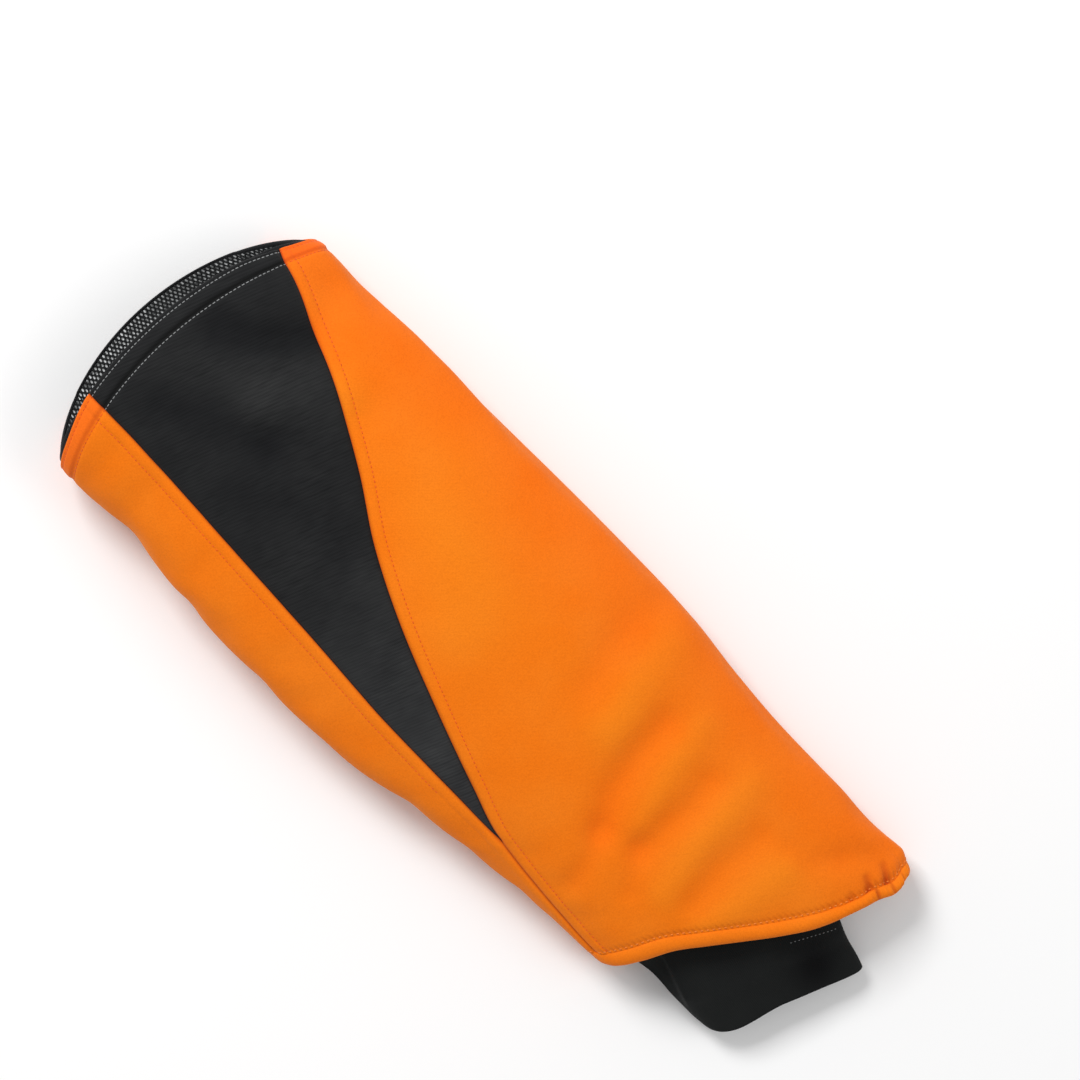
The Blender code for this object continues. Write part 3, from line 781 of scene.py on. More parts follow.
net = {
    "pitchAround": 0.0026,   # between holes round the sleeve
    "pitchAlong": 0.0042,    # between holes along it
    "strand": 0.00042,       # radius of one knitted strand
    "reach": 0.030,          # how far in from the mouth the strands are real
    "sink": 0.00008,
    "stepsPerHole": 8,
    "profileSides": 4,
    "black": (0.014, 0.015, 0.016),
    "backing": (0.74, 0.76, 0.76),
    # painted light: the backing is brighter where light comes into the sleeve and darker elsewhere, by the share
    # of the way round it
    "paintedLight": ((0.40, 0.30), (0.51, 0.32), (0.60, 1.05), (0.70, 0.95), (0.80, 0.42), (0.88, 0.62), (0.95, 0.22)),
    "swing": 0.21,           # of the pitch, between straight and widest
    "girth": 0.415,          # inside of the sleeve
}


netCount = round(net["girth"] / net["pitchAround"])  # whole holes round the inside


def makeMeshFabric():
    material, tree, shader = newMaterial("meshFabric", net["backing"], 0.85, 0.1)
    across, along = clothAxes(tree)
    around = mathNode(tree, "COSINE", mathNode(tree, "MULTIPLY", across, 2 * math.pi / net["pitchAround"]))
    inward = mathNode(tree, "COSINE", mathNode(tree, "MULTIPLY", along, 2 * math.pi / net["pitchAlong"]))
    holes = mathNode(tree, "MULTIPLY", around, inward)
    light = rampNode(tree, objectNoise(tree, 420, 1.0), ((0.34, (0.10, 0.105, 0.105)), (0.64, net["backing"])))
    wayRound = mathNode(tree, "MULTIPLY", across, 1 / (netCount * net["pitchAround"]))
    # painted light and shade round the inside of the sleeve
    paintedLight = rampNode(tree, wayRound, [(place, (grey, grey, grey)) for place, grey in net["paintedLight"]])
    light = mixColour(tree, 1.0, light, paintedLight, "MULTIPLY")
    edge = rampNode(tree, holes, ((0.16, (0, 0, 0)), (0.42, (1, 1, 1))))
    tree.links.new(mixColour(tree, edge, (*net["black"], 1), light), shader.inputs["Base Color"])
    tree.links.new(bumpNode(tree, mathNode(tree, "MULTIPLY", holes, -1.0), 0.0007, 0.8), shader.inputs["Normal"])
    return material


def makePlainKnit(name, colour, roughness, wale, course, sheen, depth):
    # V stitches of a knit: wales run along the piece, courses across it
    material, tree, shader = newMaterial(name, colour, roughness, sheen)
    across, along = clothAxes(tree)
    lean = mathNode(tree, "ABSOLUTE", mathNode(tree, "SINE", mathNode(tree, "MULTIPLY", across, math.pi / wale)))
    phase = mathNode(tree, "MULTIPLY", along, 2 * math.pi / course)
    loops = mathNode(tree, "SINE", mathNode(tree, "ADD", phase, mathNode(tree, "MULTIPLY", lean, 2.4)))
    height = mathNode(tree, "ADD", mathNode(tree, "MULTIPLY", loops, 0.4), lean)
    fuzz = objectNoise(tree, 1500, 2.0)
    height = mathNode(tree, "ADD", height, mathNode(tree, "MULTIPLY", fuzz, 0.6))
    dark = tuple(channel * 0.72 for channel in colour)
    light = tuple(channel * 1.30 for channel in colour)
    mixed = rampNode(tree, mathNode(tree, "MULTIPLY", height, 0.6), ((0.25, dark), (0.85, light)))
    cloud = rampNode(tree, objectNoise(tree, 30, 3.0), ((0.35, (0.80, 0.80, 0.82)), (0.70, (1.15, 1.16, 1.14))))
    mixed = mixColour(tree, 0.8, mixed, cloud, "MULTIPLY")
    # painted shadow in the cuff's dip beside the far corner
    shade = mathNode(tree, "MULTIPLY", readAttribute(tree, "dipShade"), 0.90)
    mixed = mixColour(tree, shade, mixed, (0.0015, 0.0016, 0.0020, 1))
    tree.links.new(mixed, shader.inputs["Base Color"])
    tree.links.new(bumpNode(tree, height, depth, 0.6), shader.inputs["Normal"])
    return material


def makeThread(name, colour):
    # two plies twisted round each other
    material, tree, shader = newMaterial(name, colour, 0.62, 0.2)
    twist = objectNoise(tree, 2600, 1.0, (1, 1, 1))
    dark = tuple(channel * 0.62 for channel in colour)
    tree.links.new(rampNode(tree, twist, ((0.35, dark), (0.62, colour))), shader.inputs["Base Color"])
    tree.links.new(bumpNode(tree, twist, 0.0002, 0.6), shader.inputs["Normal"])
    return material


def makePaleFloor():
    material, tree, shader = newMaterial("paleFloor", (0.93, 0.93, 0.93), 0.75)
    tone = rampNode(tree, objectNoise(tree, 1.4, 1.0), ((0.3, (0.925, 0.925, 0.925)), (0.7, (0.94, 0.94, 0.94))))
    tree.links.new(tone, shader.inputs["Base Color"])
    return material


orangeShell = makeOrangeShell()
blackTwill = makeBlackTwill()
meshFabric = makeMeshFabric()
blackTape = makePlainKnit("blackTape", (0.012, 0.012, 0.013), 0.75, 0.0008, 0.0010, 0.1, 0.00014)
blackKnit = makePlainKnit("blackKnit", (0.0092, 0.0102, 0.0100), 0.85, 0.0011, 0.0008, 0.05, 0.00016)
netStrand = makePlainKnit("netStrand", net["black"], 0.6, 0.0006, 0.0006, 0.15, 0.00006)
greyThread = makeThread("greyThread", (0.33, 0.34, 0.34))
orangeThread = makeThread("orangeThread", (0.95, 0.27, 0.040))
deepThread = makeThread("deepThread", (0.86, 0.125, 0.012))
cuffThread = makeThread("cuffThread", (0.20, 0.205, 0.21))
paleFloor = makePaleFloor()
print("materials made")

panelGrid = {
    "rows": 190,
    "rowPull": 0.72,
    "mainColumns": 200,
    "wedgeColumns": 70,
    "underColumns": 120,
    "columnPull": 0.70,
    # widths and shares of the painted shadow in seams, puckers and beside the mouth hem
    "seamShadow": 0.0006,
    "seamShade": 0.75,
    "puckerShade": 0.85,
    "puckerWhole": 0.0021,    # pucker depth that gives the whole shade
    "hemShadow": 0.30,
    "twillHemShadow": 0.90,
    "hemShadowWidth": 0.0011,
    "foldShadeTone": 0.10,         # fold depth, of fullHeight, that gives the whole painted shade and highlight
    "startFromRim": 0.0003,
    "endFromRim": 0.0060,     # the hem covers the rest
    # small gathers beside the wrist stitches: metres in from the band, and degrees round it
    "gatherAway": 0.0012,
    "gatherReach": 0.0034,
    "gatherElsewhere": 0.35,
    "gatherCentre": 48,
    "gatherSpread": 24,
}


def panelRows():
    first = panelGrid["startFromRim"] / nominalRun
    last = 1 - panelGrid["endFromRim"] / nominalRun
    return first + (last - first) * denseEnds(panelGrid["rows"], panelGrid["rowPull"])


def flatAcross(rows, angles):
    # metres round the sleeve from its top line, where the fabric would lie flat
    fine = np.radians(np.arange(-20, 381, 0.5))
    grid = np.broadcast_to(fine, (len(rows), len(fine)))
    points = smoothWall(shareOf(rows[:, None], grid), grid)
    steps = np.linalg.norm(np.diff(points, axis=1), axis=2)
    reached = np.concatenate((np.zeros((len(rows), 1)), np.cumsum(steps, axis=1)), axis=1)
    top = [np.interp(math.pi / 2, fine, reached[i]) for i in range(len(rows))]
    return np.array([np.interp(angles[i], fine, reached[i]) - top[i] for i in range(len(rows))])


def setAttribute(mesh, name, values):
    attribute = mesh.attributes.new(name, "FLOAT", "POINT")
    attribute.data.foreach_set("value", np.asarray(values, np.float32).ravel())


clothRun = {
    "rows": 104,
    "columns": 108,
    "pressure": 4.0,
    "frames": 20,
    "slack": -0.03,          # the fabric is cut a little larger than the space it fills
    "startInset": 0.0012,    # it starts inside its final place, because it swells
    "cap": 0.0020,
    "blurSteps": 3,
    # metres from each of these within which the fabric is held
    "nearSeam": 0.0035,
    "nearMouth": 0.006,
    "nearWrist": 0.012,
    "nearFloor": 0.004,
    "fabric": {
        "quality": 6,
        "mass": 0.3,
        "tension_stiffness": 22,
        "compression_stiffness": 22,
        "shear_stiffness": 8,
        "bending_stiffness": 1.2,
    },
}


def simulateCloth():
    # the outer fabric as one tube, blown up a little between its seams; only how far it moves
    # outwards is kept, and every panel reads that
    rows, columns = clothRun["rows"], clothRun["columns"]
    shares = np.linspace(0, 1, rows)[:, None]
    angles = (np.arange(columns) * 2 * math.pi / columns)[None, :]
    shares, angles = np.broadcast_arrays(shares, angles)
    rest, outward = shellPoint(shares, angles, -clothRun["startInset"], detail=False)
    mesh = gridMesh("clothRun", rest, np.zeros((rows, columns, 2)), wrap=True)
    obj = addPiece("clothRun", mesh)
    flat = rest - origin
    nearMain = np.abs(seamAway(mainSeam, flat, outward))
    nearUnder = np.where(flat[..., 0] < wedgeTipX, np.abs(seamAway(underSeam, flat, outward)), 1)
    onTop = np.sin(angles) > 0
    held = onTop & (np.minimum(nearMain, nearUnder) < clothRun["nearSeam"])
    held = held | (shares * runAt(angles) < clothRun["nearMouth"])
    held = held | ((1 - shares) * runAt(angles) < clothRun["nearWrist"])
    held = held | (flat[..., 2] < clothRun["nearFloor"])
    group = obj.vertex_groups.new(name="held")
    group.add(np.flatnonzero(held.ravel()).tolist(), 1.0, "REPLACE")
    cloth = obj.modifiers.new("cloth", "CLOTH")
    settings = cloth.settings
    for label, value in clothRun["fabric"].items():
        setattr(settings, label, value)
    settings.use_pressure = True
    settings.uniform_pressure_force = clothRun["pressure"]
    settings.shrink_min = clothRun["slack"]
    settings.vertex_group_mass = "held"
    settings.pin_stiffness = 1
    settings.effector_weights.gravity = 0
    cloth.collision_settings.use_self_collision = False
    cloth.point_cache.frame_start = 1
    cloth.point_cache.frame_end = clothRun["frames"]
    scene = bpy.context.scene
    for number in range(1, clothRun["frames"] + 1):
        scene.frame_set(number)
    graph = bpy.context.evaluated_depsgraph_get()
    done = obj.evaluated_get(graph).to_mesh()
    moved = np.zeros(len(done.vertices) * 3)
    done.vertices.foreach_get("co", moved)
    moved = moved.reshape(rows, columns, 3)
    field = ((moved - rest) * outward).sum(axis=2)
    print("cloth moved", round(float(field.min()) * 1000, 2), round(float(field.max()) * 1000, 2), "mm")
    scene.frame_set(1)
    bpy.data.objects.remove(obj, do_unlink=True)
    bpy.data.meshes.remove(mesh)
    cap = clothRun["cap"]
    field = cap * np.tanh(field / cap)
    for _ in range(clothRun["blurSteps"]):
        around = (np.roll(field, 1, axis=1) + np.roll(field, -1, axis=1)) / 4 + field / 2
        padded = np.pad(around, ((1, 1), (0, 0)), mode="edge")
        field = padded[:-2] / 4 + padded[1:-1] / 2 + padded[2:] / 4
    return field


puffField = simulateCloth()
print("cloth simulated")


def wristReach(angle):
    # metres round the wrist rim
    fine = np.radians(np.arange(-20, 381, 0.5))
    points = smoothWall(np.ones(len(fine)), fine)
    reached = np.concatenate(([0], np.cumsum(np.linalg.norm(np.diff(points, axis=0), axis=1))))
    return np.interp(angle, fine, reached)


def makePanel(name, fromAngle, toAngle, rows, columns, material):
    positions = denseEnds(columns, panelGrid["columnPull"])
    angles, across = spreadColumns(fromAngle, toAngle, rows, positions)
    shares = shareOf(rows[:, None], angles)
    fromMouth = shares * runAt(angles)
    shares = shares + rimInset(angles) / runAt(angles) * (1 - smoothStep(fromMouth / mouthHem["insetFade"]))
    points = shellPoint(shares, angles)[0]
    flat = points - origin
    run = runAt(angles)
    uv = np.stack((flatAcross(rows, angles), flat[..., 0]), axis=-1)
    mesh = gridMesh(name, points, uv)
    # painted shadow in the seams, in the puckers at the wrist and beside the mouth hem
    grid = panelGrid
    width = across[:, -1:]
    toEdge = np.minimum(across, width - across)
    shade = grid["seamShade"] * np.exp(-((toEdge / grid["seamShadow"]) ** 2))
    pucker = puckerDepth(flat[..., 0], flat[..., 1], angles) / grid["puckerWhole"]
    shade = shade + grid["puckerShade"] * np.clip(pucker, 0, 1)
    dent = (shares * run - mouthHem["rowFar"] + mouthHem["dentAway"]) / grid["hemShadowWidth"]
    hemShadow = grid["hemShadow"] if material is orangeShell else grid["twillHemShadow"]
    setAttribute(mesh, "seamShade", np.clip(shade + hemShadow * np.exp(-(dent**2)), 0, 1))
    # the turned-in hem at the mouth is a tone redder; the folds get painted shade in their valleys and painted
    # highlight on their ridges
    setAttribute(mesh, "hemBand", smoothStep((mouthHem["rowFar"] - shares * run) / 0.0015))
    fold = foldDepth(flat[..., 0], flat[..., 1], angles) / form["fullHeight"]
    setAttribute(mesh, "foldShadeTone", np.clip(0.5 + fold / grid["foldShadeTone"], 0, 1))
    setAttribute(mesh, "isPanel", np.ones(shares.shape))
    away = ((1 - shares) * run - bandWidth(angles) - grid["gatherAway"]) / grid["gatherReach"]
    turn = (np.degrees(angles) - grid["gatherCentre"]) / grid["gatherSpread"]
    near = grid["gatherElsewhere"] + (1 - grid["gatherElsewhere"]) * np.exp(-(turn**2))
    setAttribute(mesh, "hemGather", near * np.exp(-(away**2)))
    setAttribute(mesh, "wristReach", wristReach(angles))
    return addPiece(name, mesh, material)


def makeShell():
    rows = panelRows()
    mainAngle = seamAngle(mainSeam, rows)
    underAngle = seamAngle(underSeam, rows)
    side = np.full(len(rows), form["sideSeamAngle"])
    main = makePanel("mainPanel", side, mainAngle, rows, panelGrid["mainColumns"], orangeShell)
    # the wedge ends where its two seams meet
    inWedge = underAngle > mainAngle
    last = int(np.argmin(inWedge)) + 1
    wedgeRows = rows[:last]
    wedgeLeft = np.maximum(underAngle[:last], mainAngle[:last])
    wedge = makePanel(
        "wedgePanel", mainAngle[:last], wedgeLeft, wedgeRows, panelGrid["wedgeColumns"], blackTwill
    )
    leftSeam = np.maximum(underAngle, mainAngle)
    under = makePanel(
        "underPanel", leftSeam, side + 2 * math.pi, rows, panelGrid["underColumns"], orangeShell
    )
    for obj in (main, wedge, under):
        thicken(obj, form["shellWall"])
    return main, wedge, under


mainPanel, wedgePanel, underPanel = makeShell()
print("outer panels made")


def liningThickness(share, angle):
    edge = np.minimum(share, 1 - share) * runAt(angle)
    return form["liningWall"] * (
        form["liningEdgeShare"] + (1 - form["liningEdgeShare"]) * smoothStep(edge / form["liningTaper"])
    )


def fullDepth(share, angle):
    return form["shellWall"] + form["wallGap"] + liningThickness(share, angle)


def ringAngles(count):
    # even distances round the middle of the sleeve
    fine = np.linspace(0, 2 * math.pi, 1441)
    points = smoothWall(np.full(len(fine), 0.4), fine)
    reached = np.concatenate(([0], np.cumsum(np.linalg.norm(np.diff(points, axis=0), axis=1))))
    return np.interp(np.linspace(0, 1, count + 1)[:-1] * reached[-1], reached, fine)


def tubeMesh(name, rings, wrapRings=False, flat=None):
    # rings of points skinned in order; the last joins the first when wrapRings is set
    points = np.stack(rings)
    count, around = points.shape[:2]
    quads = []
    for r in range(count if wrapRings else count - 1):
        s = (r + 1) % count
        for c in range(around):
            d = (c + 1) % around
            quads.append((r * around + c, r * around + d, s * around + d, s * around + c))
    mesh = bpy.data.meshes.new(name)
    mesh.from_pydata(points.reshape(-1, 3).tolist(), [], quads)
    # metres round and along each ring, for the weave
    stepsAround = np.linalg.norm(np.roll(points, -1, axis=1) - points, axis=2).mean(axis=0)
    u = np.concatenate(([0], np.cumsum(stepsAround)))
    stepsAlong = np.linalg.norm(np.roll(points, -1, axis=0) - points, axis=2).mean(axis=1)
    v = np.concatenate(([0], np.cumsum(stepsAlong)))
    us, vs = flat if flat else (u, np.broadcast_to(v[:, None], (len(v), around + 1)))
    layer = mesh.uv_layers.new(name="cloth")
    coords = []
    for r in range(count if wrapRings else count - 1):
        for c in range(around):
            coords += [
                (us[c], vs[r][c]), (us[c + 1], vs[r][c + 1]),
                (us[c + 1], vs[r + 1][c + 1]), (us[c], vs[r + 1][c]),
            ]
    layer.data.foreach_set("uv", np.array(coords, np.float32).ravel())
    mesh.shade_smooth()
    return mesh


lining = {
    "columns": 220,
    "rows": 130,
    "startFromRim": 0.0010,
}


def makeLining():
    angles = ringAngles(lining["columns"])
    run = runAt(angles)
    start = lining["startFromRim"] / run
    end = 1 - (bandWidth(angles) - 0.0004) / run
    rings = []
    vs = []
    for t in denseEnds(lining["rows"], 0.6):
        share = start + (end - start) * t
        rings.append(insidePoint(share, angles, fullDepth(share, angles)))
        vs.append(share * run)
    for t in denseEnds(lining["rows"] // 2, 0.6)[::-1]:
        share = start + (end - start) * t
        outer = np.full(len(angles), form["shellWall"] + form["wallGap"])
        rings.append(insidePoint(share, angles, outer, puckered=True))
        vs.append(share * run)
    vs.append(vs[0])
    vs = [np.append(row, row[0]) for row in vs]
    us = np.arange(lining["columns"] + 1) / lining["columns"] * netCount * net["pitchAround"]
    # the inner face comes first and runs to the wrist, so its faces look at the hollow when turned
    mesh = tubeMesh("meshLining", rings, wrapRings=True, flat=(us, vs))
    mesh.flip_normals()
    return addPiece("meshLining", mesh, meshFabric)


meshLining = makeLining()
print("lining made")

binding = {
    "width": 0.0013,
    "cornerWidth": 0.0029,    # wider towards the longer corner of the mouth
    "nearInset": 0.0009,      # on the upper side the fabric reaches past it
    "underReach": 0.0006,     # elsewhere it stands out beyond the rim
    "underFabric": 0.0020,    # and runs this far in under the fabric's edge
    "swell": 0.0003,
    "columns": 420,
    # inward as a share of width, depth as a share of the padding, swell as a share of swell
    "profile": (
        (1.00, 0.02, 0.0), (0.60, 0.01, 0.0), (0.22, 0.03, 0.0),
        (0.05, 0.10, 0.0), (0.00, 0.30, 0.0), (0.00, 0.70, 0.0), (0.06, 0.90, 0.2),
        (0.24, 0.98, 0.7), (0.52, 1.00, 1.0), (0.80, 1.00, 0.9), (1.00, 1.00, 0.2),
        (1.00, 0.66, 0.0), (1.00, 0.33, 0.0),
    ),
}


def makeBinding():
    angles = ringAngles(binding["columns"])
    run = runAt(angles)
    corner = smoothStep((acrossShare(angles) - 0.45) / 0.45)
    width = binding["width"] + (binding["cornerWidth"] - binding["width"]) * corner
    near = 1 - standsBack(angles)
    inset = binding["nearInset"] * near - binding["underReach"] * (1 - near)
    start = form["shellWall"] + form["wallGap"] / 2
    rings = []
    outerWidth = rimInset(angles) + binding["underFabric"]
    for inward, depth, swell in binding["profile"]:
        share = (inset + inward * (outerWidth if depth < 0.2 else width)) / run
        padding = fullDepth(np.full(len(angles), binding["width"]) / run, angles) - start
        rings.append(insidePoint(share, angles, start + depth * padding + swell * binding["swell"]))
    mesh = tubeMesh("mouthBinding", rings, wrapRings=True)
    return addPiece("mouthBinding", mesh, blackTape)


mouthBinding = makeBinding()

hem = {
    "swell": 0.0011,
    "columns": 520,
    "ribDepth": 0.00036,     # small ribs where the elastic draws the roll in
    "ribPitch": 0.0033,
    "ribCentre": 45.0,       # degrees round the section
    "ribSpread": 26.0,
    "ribElsewhere": 0.12,
    # degrees, spread in degrees and depth in metres of the notches in the roll
    "notches": ((37.2, 1.5, 0.0008), (49.5, 1.6, 0.0010), (24.0, 1.6, 0.0005)),
    "notchShade": 0.55,
    "notchWhole": 0.0010,    # notch depth that gives the whole shade
    "notchShadeNarrower": 1.3,
    # inward as a share of the band, depth as a share of the wall, swell as a share of swell
    "profile": (
        (1.00, 0.02, -0.80), (0.94, 0.00, -0.35), (0.86, 0.00, 0.15), (0.74, 0.00, 0.65),
        (0.60, 0.00, 0.95), (0.46, 0.00, 1.05), (0.33, 0.02, 1.0), (0.20, 0.07, 0.8),
        (0.09, 0.16, 0.5), (0.02, 0.30, 0.2), (0.00, 0.50, 0.0), (0.03, 0.70, 0.2),
        (0.12, 0.86, 0.5), (0.28, 0.96, 0.6), (0.50, 1.00, 0.5), (0.80, 1.00, 0.2),
        (1.00, 1.00, -0.2), (1.00, 0.66, 0.0), (1.00, 0.33, 0.0),
    ),
}


def makeHem():
    angles = ringAngles(hem["columns"])
    run = runAt(angles)
    band = bandWidth(angles)
    rings = []
    turn = np.degrees(angles)
    near = hem["ribElsewhere"] + np.exp(-(((turn - hem["ribCentre"]) / hem["ribSpread"]) ** 2))
    sink = hem["ribDepth"] * near * np.cos(2 * math.pi * wristReach(angles) / hem["ribPitch"])
    for at, spread, deep in hem["notches"]:
        sink = sink + deep * np.exp(-(((turn - at) / spread) ** 2))
    wall = fullDepth(1 - band / run, angles)
    for inward, depth, swell in hem["profile"]:
        share = 1 - inward * band / run
        side = -1 if depth < 0.6 else 1
        sunk = sink * max(swell, 0) if side < 0 else 0
        swollen = swell * hem["swell"] * sideFade(angles)
        rings.append(insidePoint(share, angles, depth * wall + side * swollen + sunk))
    mesh = tubeMesh("wristHem", rings, wrapRings=True)
    mesh.flip_normals()
    # painted shade in the notches of the roll
    shade = np.zeros((len(rings), len(angles)))
    for at, spread, deep in hem["notches"]:
        away = (turn - at) / spread * hem["notchShadeNarrower"]
        shade = shade + deep / hem["notchWhole"] * hem["notchShade"] * np.exp(-(away**2))
    setAttribute(mesh, "seamShade", np.clip(shade, 0, 1))
    return addPiece("wristHem", mesh, orangeShell)


wristHem = makeHem()
print("edges made")


def newTree(name, inputs):
    tree = bpy.data.node_groups.new(name, "GeometryNodeTree")
    tree.is_modifier = True
    tree.interface.new_socket("Geometry", in_out="INPUT", socket_type="NodeSocketGeometry")
    for label, kind in inputs:
        tree.interface.new_socket(label, in_out="INPUT", socket_type=kind)
    tree.interface.new_socket("Geometry", in_out="OUTPUT", socket_type="NodeSocketGeometry")
    return tree, tree.nodes.new("NodeGroupInput").outputs, tree.nodes.new("NodeGroupOutput")


def runTree(obj, tree, values):
    modifier = obj.modifiers.new(tree.name, "NODES")
    modifier.node_group = tree
    for item in tree.interface.items_tree:
        if item.item_type == "SOCKET" and item.in_out == "INPUT" and item.name in values:
            modifier[item.identifier] = values[item.name]
    return applyModifiers(obj)


def makeStitchTree():
    # even stitches along every guide line, laid on the fabric by the guide's own outward vector
    tree, given, result = newTree("stitchRow", (
        ("Pitch", "NodeSocketFloat"), ("Stitch", "NodeSocketVector"), ("Thread", "NodeSocketMaterial"),
    ))
    curve = addNode(tree, "GeometryNodeMeshToCurve", {"Mesh": given["Geometry"]}).outputs["Curve"]
    even = addNode(tree, "GeometryNodeResampleCurve", {"Curve": curve, "Length": given["Pitch"]}, mode="LENGTH")
    tangent = addNode(tree, "GeometryNodeInputTangent", {}).outputs["Tangent"]
    outward = addNode(tree, "GeometryNodeInputNamedAttribute", {"Name": "out"}, data_type="FLOAT_VECTOR")
    out = outward.outputs["Attribute"]
    turn = addNode(tree, "FunctionNodeAlignRotationToVector", {"Vector": tangent}, axis="X").outputs["Rotation"]
    turn = addNode(
        tree, "FunctionNodeAlignRotationToVector", {"Rotation": turn, "Vector": out}, axis="Z", pivot_axis="X"
    ).outputs["Rotation"]
    bead = addNode(tree, "GeometryNodeMeshUVSphere", {"Segments": 6, "Rings": 5, "Radius": 0.5}).outputs["Mesh"]
    bead = addNode(tree, "GeometryNodeTransform", {"Geometry": bead, "Scale": given["Stitch"]}).outputs["Geometry"]
    laid = addNode(tree, "GeometryNodeInstanceOnPoints", {
        "Points": even.outputs["Curve"], "Instance": bead, "Rotation": turn,
    }).outputs["Instances"]
    real = addNode(tree, "GeometryNodeRealizeInstances", {"Geometry": laid}).outputs["Geometry"]
    smooth = addNode(tree, "GeometryNodeSetShadeSmooth", {"Geometry": real}).outputs["Geometry"]
    done = addNode(tree, "GeometryNodeSetMaterial", {"Geometry": smooth, "Material": given["Thread"]})
    tree.links.new(done.outputs["Geometry"], result.inputs["Geometry"])
    return tree


def guideMesh(name, lines):
    # each line is (points, outward vectors)
    verts, outs, edges = [], [], []
    for points, outward in lines:
        first = len(verts)
        verts += points.tolist()
        outs += outward.tolist()
        edges += [(first + i, first + i + 1) for i in range(len(points) - 1)]
    mesh = bpy.data.meshes.new(name)
    mesh.from_pydata(verts, edges, [])
    attribute = mesh.attributes.new("out", "FLOAT_VECTOR", "POINT")
    attribute.data.foreach_set("vector", np.array(outs, np.float32).ravel())
    return mesh


stitchTree = makeStitchTree()
stitching = {
    "lift": 0.00005,          # thread centres above the fabric
    "mouth": {"pitch": 0.0026, "stitch": (0.0022, 0.00060, 0.00050)},
    "seam": {"pitch": 0.0027, "stitch": (0.0019, 0.00060, 0.00042)},
    "hem": {"pitch": 0.0033, "stitch": (0.0019, 0.00080, 0.00060)},
    "cuff": {"pitch": 0.0024, "stitch": (0.0013, 0.00060, 0.00050)},
    "hemAway": 0.0012,        # inside the hem's edge
}


def mouthLine(fromMouth, fromAngle, toAngle):
    angles = np.linspace(fromAngle, toAngle, 400)
    away = fromMouth + rimInset(angles) * (1 - smoothStep(fromMouth / mouthHem["insetFade"]))
    return shellPoint(away / runAt(angles), angles, stitching["lift"])


def wristLine(fromHem, fromAngle, toAngle):
    angles = np.linspace(fromAngle, toAngle, 700)
    return shellPoint(1 - (bandWidth(angles) + fromHem) / runAt(angles), angles, stitching["lift"])


def seamLine(curve, away, firstX, lastX):
    # a line beside a seam: the angle is found so that the distance along the surface is away
    rows = np.linspace((firstX + 0.012) / nominalRun, lastX / nominalRun, 420)
    rows = rows[(rows > 0.004) & (rows < 0.985)]

    def beyondLine(angle):
        share = shareOf(rows, angle)
        return seamAway(curve, smoothWall(share, angle), outwardAt(share, angle)) > away

    angle = lastAngle(len(rows), beyondLine)
    share = shareOf(rows, angle)
    point = smoothWall(share, angle)
    keep = (point[:, 0] < lastX) & ((1 - share) * runAt(angle) > bandWidth(angle) + stitching["hemAway"])
    points, outward = shellPoint(share, angle, stitching["lift"])
    return points[keep], outward[keep]


def makeStitches(name, lines, kind, thread):
    obj = addPiece(name, guideMesh(name, lines))
    look = stitching[kind]
    return runTree(obj, stitchTree, {"Pitch": look["pitch"], "Stitch": look["stitch"], "Thread": thread})


def mouthSeamAngles(fromMouth):
    # where a line at this distance from the mouth meets the two seams of the wedge
    row = np.array([fromMouth / nominalRun])
    return float(seamAngle(mainSeam, row)[0]), float(seamAngle(underSeam, row)[0])


def makeAllStitches():
    grey, orange = [], []
    for fromMouth in (mouthHem["rowNear"], mouthHem["rowFar"]):
        mainAngle, underAngle = mouthSeamAngles(fromMouth)
        edge = 0.012
        grey.append(mouthLine(fromMouth, mainAngle + edge, underAngle - edge))
        orange.append(mouthLine(fromMouth, form["sideSeamAngle"], mainAngle - edge))
        orange.append(mouthLine(fromMouth, underAngle + edge, form["sideSeamAngle"] + 2 * math.pi))
    seams = [
        seamLine(mainSeam, seamLook["topstitchAway"], 0.0, form["length"]),
        seamLine(underSeam, -seamLook["topstitchAway"], 0.0, wedgeTipX - 0.004),
    ]
    hemRow = [wristLine(stitching["hemAway"], 0.0, 2 * math.pi)]
    return (
        makeStitches("mouthStitchesGrey", grey, "mouth", greyThread),
        makeStitches("mouthStitchesOrange", orange, "mouth", deepThread),
        makeStitches("seamStitches", seams, "seam", deepThread),
        makeStitches("hemStitches", hemRow, "hem", orangeThread),
    )


mouthStitchesGrey, mouthStitchesOrange, seamStitches, hemStitches = makeAllStitches()
print("stitches made")


def makeNetTree():
    # strands of the open mesh knit along their guide lines
    tree, given, result = newTree("netStrands", (
        ("Radius", "NodeSocketFloat"), ("Sides", "NodeSocketInt"), ("Strand", "NodeSocketMaterial"),
    ))
    curve = addNode(tree, "GeometryNodeMeshToCurve", {"Mesh": given["Geometry"]}).outputs["Curve"]
    profile = addNode(tree, "GeometryNodeCurvePrimitiveCircle", {
        "Resolution": given["Sides"], "Radius": given["Radius"],
    })
    tube = addNode(tree, "GeometryNodeCurveToMesh", {
        "Curve": curve, "Profile Curve": profile.outputs["Curve"], "Fill Caps": True,
    }).outputs["Mesh"]
    real = addNode(tree, "GeometryNodeRealizeInstances", {"Geometry": tube}).outputs["Geometry"]
    smooth = addNode(tree, "GeometryNodeSetShadeSmooth", {"Geometry": real}).outputs["Geometry"]
    done = addNode(tree, "GeometryNodeSetMaterial", {"Geometry": smooth, "Material": given["Strand"]})
    tree.links.new(done.outputs["Geometry"], result.inputs["Geometry"])
    return tree


